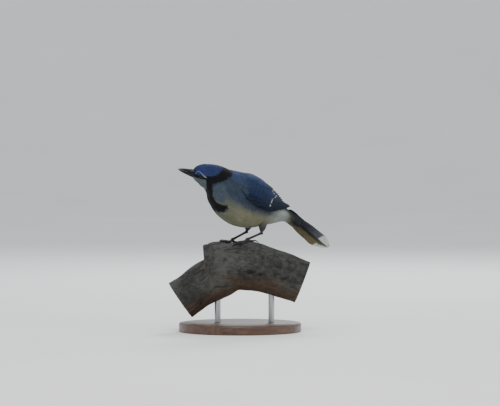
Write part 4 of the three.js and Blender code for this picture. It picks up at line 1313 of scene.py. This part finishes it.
def arm(rows, twist):
    def place(t, angle, share):
        s = t * (len(rows) - 1)
        along, up, radius = np.moveaxis(smooth(rows, s), -1, 0)
        line = unit((smooth(rows, s + 1e-3) - smooth(rows, s - 1e-3))[..., :2])
        a = np.radians(angle)
        bumps = sum(size * np.sin(lobes * (a + twist) + drift * s) for lobes, drift, size in BUMPS)
        r = (radius + bumps * np.where(np.sin(a) > 0.6, 0.35, 1.0)) * share
        return branch_point(along - line[..., 1] * r * np.sin(a), r * np.cos(a), up + line[..., 0] * r * np.sin(a))

    return tube(place, 64, 40)


# Each pit: place along the branch, height, size and depth
PITS = ((14.0, -40.0, 3.2, 2.6), (27.0, -43.0, 2.2, 1.8), (-20.0, -22.0, 1.8, 1.2), (58.0, -48.0, 2.0, 1.4))


def smooth_noise(x, y, z):
    return min(1.0, max(0.0, 1.6 * noise.noise(Vector((x, y, z))) + 0.3))


def make_perch():
    """The branch: two arms fused at the knee, with long cracks, flakes and a knot worked into the surface."""
    perch = fused("branch", [arm(RIGHT_ARM, 0.4), arm(LEFT_ARM, 2.2)], 1.0, BARK, "bark", relax=3)
    mesh = perch.data
    places = places_of(mesh.vertices) / MM
    normals = np.array([v.normal for v in mesh.vertices])
    c, n = math.cos(math.radians(YAW)), math.sin(math.radians(YAW))
    along = places[:, 0] * c - places[:, 1] * n
    deep = places[:, 0] * n + places[:, 1] * c
    up = places[:, 2] - PERCH_TOP
    line = smooth(np.vstack([LEFT_ARM[::-1][:3], RIGHT_ARM[::-1][1:]]),
                  np.interp(along, [-80, -64, -46.9, -32, -12, 13.4, 38, 62, 84], np.arange(9)))
    around = np.arctan2(up - line[:, 1], deep)
    faces = normals[:, 0] * c - normals[:, 1] * n
    ends = (along > 70) | (np.abs(along + 80) < 16) | ((along < -44) & (faces < -0.8))
    sawn = ((np.abs(faces) > 0.8) & ends).astype(float)
    # Cracks along the branch, low lumps and a knot with two pits on the near side. The cracks and pits also get
    # painted shade, and a patch by the feet is painted dark as shade, with no hollow in the shape.
    painted_shade, shift = np.empty((2, len(places)))
    for k, (x, g, y) in enumerate(zip(along, 30 * around, up)):
        ridged = 1 - abs(noise.noise(Vector((x * 0.022, g * 0.13, 3.1)))) * 2.0
        crack = max(0.0, ridged - 0.86) / 0.14 * smooth_noise(x * 0.05, g * 0.05, 17.0)
        shift[k] = (-1.4 * crack + 0.5 * noise.noise(Vector((x * 0.1, g * 0.2, y * 0.05)))
                    + 0.9 * noise.noise(Vector((x * 0.03, g * 0.05, 8.0))))
        painted_shade[k] = 0.75 * crack
    near = deep < 0
    for at, high, size, pit in PITS:
        far = np.hypot((along - at) / 1.5, up - high) / size
        shift += near * (-pit * np.exp(-far ** 2) + 0.35 * pit * np.exp(-((far - 1.8) / 0.6) ** 2))
        painted_shade += near * 0.8 * np.exp(-far ** 2)
    # Painted shade by the feet; the shape has no hollow there
    painted_shade += 0.5 * np.exp(-(((along + 2) / 14) ** 2 + ((up + 7) / 4.5) ** 2)) * near
    on_top = smoothstep(normals[:, 2], 0.75, 0.95) * smoothstep(along, -40, -30) * fade(along, 30, 44)
    shift *= (1 - 0.85 * on_top) * (1 - sawn)
    mesh.vertices.foreach_set("co", ((places + normals * shift[:, None]) * MM).astype(np.float32).ravel())
    store(mesh, "painted_shade", np.clip(painted_shade, 0, 1))
    store(mesh, "sawn", sawn)
    # Painted warm reflected light: a share for the faces turned down
    store(mesh, "under", smoothstep(-normals[:, 2], 0.1, 0.8))
    store(mesh, "ring", np.hypot(deep, up - line[:, 1]) * 0.03)
    order = np.empty(len(mesh.loops), np.int32)
    mesh.loops.foreach_get("vertex_index", order)
    store_map(mesh, "grain", along * 0.01, around, order)
    mesh.update()
    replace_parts(perch, "perch")
    return BVHTree.FromPolygons([v.co.copy() for v in mesh.vertices], [p.vertices[:] for p in mesh.polygons])


# Legs. Each toe: its turn, its length and its claw's length
TOES = ((0.0, 15.5, 7.0), (24.0, 11.0, 6.0), (-24.0, 12.0, 6.0), (178.0, 9.5, 8.5))
TOE = {"start": 0.6, "thick": 1.55, "radii": (1.7, 1.55, 1.5, 1.35, 1.25), "web": 1.4, "scute": 1.25, "pad": 3.6}
ANKLE = {"high": 3.6, "ball": 2.4, "sunk": 0.6}
CLAW = {"start": -0.3, "radii": (1.1, 0.8, 0.22), "arch": 0.55, "tip": 0.3}
SHANK = {"radius": 1.45, "ends": 0.9, "scutes": 9.8, "scute": 0.3, "up": 2.0}


def make_shank(name, ankle, heel):
    """The bare shank, with scutes down its front and fine grain behind."""
    way = unit(ankle - heel)
    start = heel - SHANK["up"] * way
    side = np.array([0, 1.0, 0])
    front = np.cross(side, way)

    def shank(t, angle, share):
        a = np.radians(angle)
        before = np.sin(a) > -0.3
        scute = SHANK["scute"] * np.abs(np.sin(np.pi * SHANK["scutes"] * t)) ** 0.4 * before
        grain = 0.08 * np.sin(60 * t) * np.sin(9 * a) * ~before
        r = (SHANK["radius"] + SHANK["ends"] * (2 * np.abs(t - 0.5)) ** 4 + scute - 0.2 + grain) * share
        return (start + (ankle - start) * t[:, None] + side * (np.cos(a) * r * 0.85)[:, None]
                + front * (np.sin(a) * r * 1.1)[:, None])

    bone = finished(f"scutes_{name}", tube(shank, 28, 90), SCUTES, "dark_horn")
    tone_scutes(bone, lambda p: (p - start) @ way, np.linalg.norm(ankle - start) / SHANK["scutes"])
    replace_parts(bone, f"shank_{name}")


def toe_tube(points, length):
    """A toe with scutes above and pads below, closed at its end."""
    line = rope(points, TOE["radii"])

    def toe(t, angle, share):
        above = np.sin(np.radians(angle))
        rounds = 0.14 * np.abs(np.sin(np.pi * length / TOE["scute"] * t)) ** 0.5 * (above > 0)
        pads = 0.3 * np.abs(np.sin(np.pi * length / TOE["pad"] * t)) * (above < -0.4)
        return line(t, angle, rounds + pads - 0.15, share * np.sqrt(np.clip((1 - t) / 0.06, 0, 1)))

    return tube(toe, 20, 64)


def claw_tube(points):
    line = rope(points, CLAW["radii"])

    def claw(t, angle, share):
        return line(t, angle, 0.0, share * np.sqrt(np.clip(np.minimum(t / 0.08, (1 - t) / 0.2), 0, 1)) ** 0.8)

    return tube(claw, 16, 24)


def make_legs(bark):
    def top(x, y):
        return bark.ray_cast(Vector((x, y, PERCH_TOP + 30)) * MM, Vector((0, 0, -1)))[0].z / MM

    def on_toe(leg, way, along, lift):
        turn = math.radians(180 + leg["turn"] + way)
        x, y = leg["foot"][0] + math.cos(turn) * along, leg["foot"][1] + math.sin(turn) * along
        return x, y, top(x, y) + lift

    last = len(TOE["radii"]) - 1
    for name, leg in LEGS.items():
        foot = np.array(leg["foot"])
        ankle = np.array([*foot, top(*foot) + ANKLE["high"]])
        make_shank(name, ankle, np.array(leg["heel"]) + (0, 0, PERCH_TOP))
        parts = []
        for k, (turn, length, claw) in enumerate(TOES):
            place = partial(on_toe, leg, turn)
            parts.append(toe_tube([place(TOE["start"] + length * i / last, TOE["thick"] + (0 if i else TOE["web"]))
                                   for i in range(last + 1)], length))
            start = TOE["start"] + length + CLAW["start"]
            curve = [place(start, TOE["thick"]), place(start + claw * 0.45, TOE["thick"] + CLAW["arch"]),
                     place(start + claw * 0.95, CLAW["tip"])]
            nail = finished(f"nail_{name}_{k + 1}", claw_tube(curve), HORN, "dark_horn")
            paint(nail.data, linear(26, 25, 28))
            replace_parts(nail, f"claw_{name}_{k + 1}")
        ball = bmesh.new()
        bmesh.ops.create_uvsphere(ball, u_segments=24, v_segments=16, radius=ANKLE["ball"] * MM)
        bmesh.ops.translate(ball, verts=ball.verts, vec=Vector(ankle - (0, 0, ANKLE["sunk"])) * MM)
        foot_piece = fused(f"toes_{name}", [*parts, ball], 0.3, SCUTES, "dark_horn", relax=1)
        tone_scutes(foot_piece, lambda p, foot=foot: np.hypot(*(p[:, :2] - foot).T) - TOE["start"], TOE["scute"])
        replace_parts(foot_piece, f"foot_{name}")


def tone_scutes(piece, along, period):
    """Horn that is darker in the joints between the scutes."""
    joint = fade(np.abs(np.sin(np.pi * along(places_of(piece.data.vertices) / MM) / period)), 0.1, 0.5)
    paint(piece.data, linear(50, 48, 51) * (1 - 0.6 * joint)[:, None])


# Stand
BASE = {"radius": 82.0, "height": 12.0, "round": 2.2}
ROD_RADIUS = 4.0


def make_stand():
    bm = bmesh.new()
    r, h = BASE["radius"] * MM, BASE["height"] * MM
    corners = [bm.verts.new(p) for p in ((0, 0, 0), (r, 0, 0), (r, 0, h), (0, 0, h))]
    spun(bm, corners + [bm.edges.new(pair) for pair in zip(corners[:-1], corners[1:])], 128)
    bmesh.ops.remove_doubles(bm, verts=bm.verts, dist=WELD)
    rim = [e for e in bm.edges if all(math.hypot(v.co.x, v.co.y) > r - 1e-5 for v in e.verts)
           and abs(e.verts[0].co.z - e.verts[1].co.z) < 1e-6]
    bmesh.ops.bevel(bm, geom=rim, offset=BASE["round"] * MM, offset_type="OFFSET", affect="EDGES", segments=5,
                    profile=0.5, material=-1)
    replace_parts(finished("base_disc", bm, STAND_WOOD, "stand_wood", 40), "stand_base")
    for i in (1, 2):
        low, high = (np.array(corner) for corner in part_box(f"stand_rod_{i}"))
        bm = bmesh.new()
        bmesh.ops.create_cone(bm, cap_ends=True, segments=48, radius1=ROD_RADIUS * MM, radius2=ROD_RADIUS * MM,
                              depth=high[2] - low[2])
        bmesh.ops.translate(bm, verts=bm.verts, vec=(low + high) / 2)
        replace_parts(finished(f"rod_{i}", bm, STEEL, "stand_steel", 40), f"stand_rod_{i}")


aim_camera()
studio()
make_skin()
make_coats()
make_wing("left", (1, 1, 1), False)
make_wing("right", (1, -1, 1), True)
make_tail()
make_tail_coverts()
make_bill()
make_bristles()
make_eyes()
make_legs(make_perch())
make_stand()
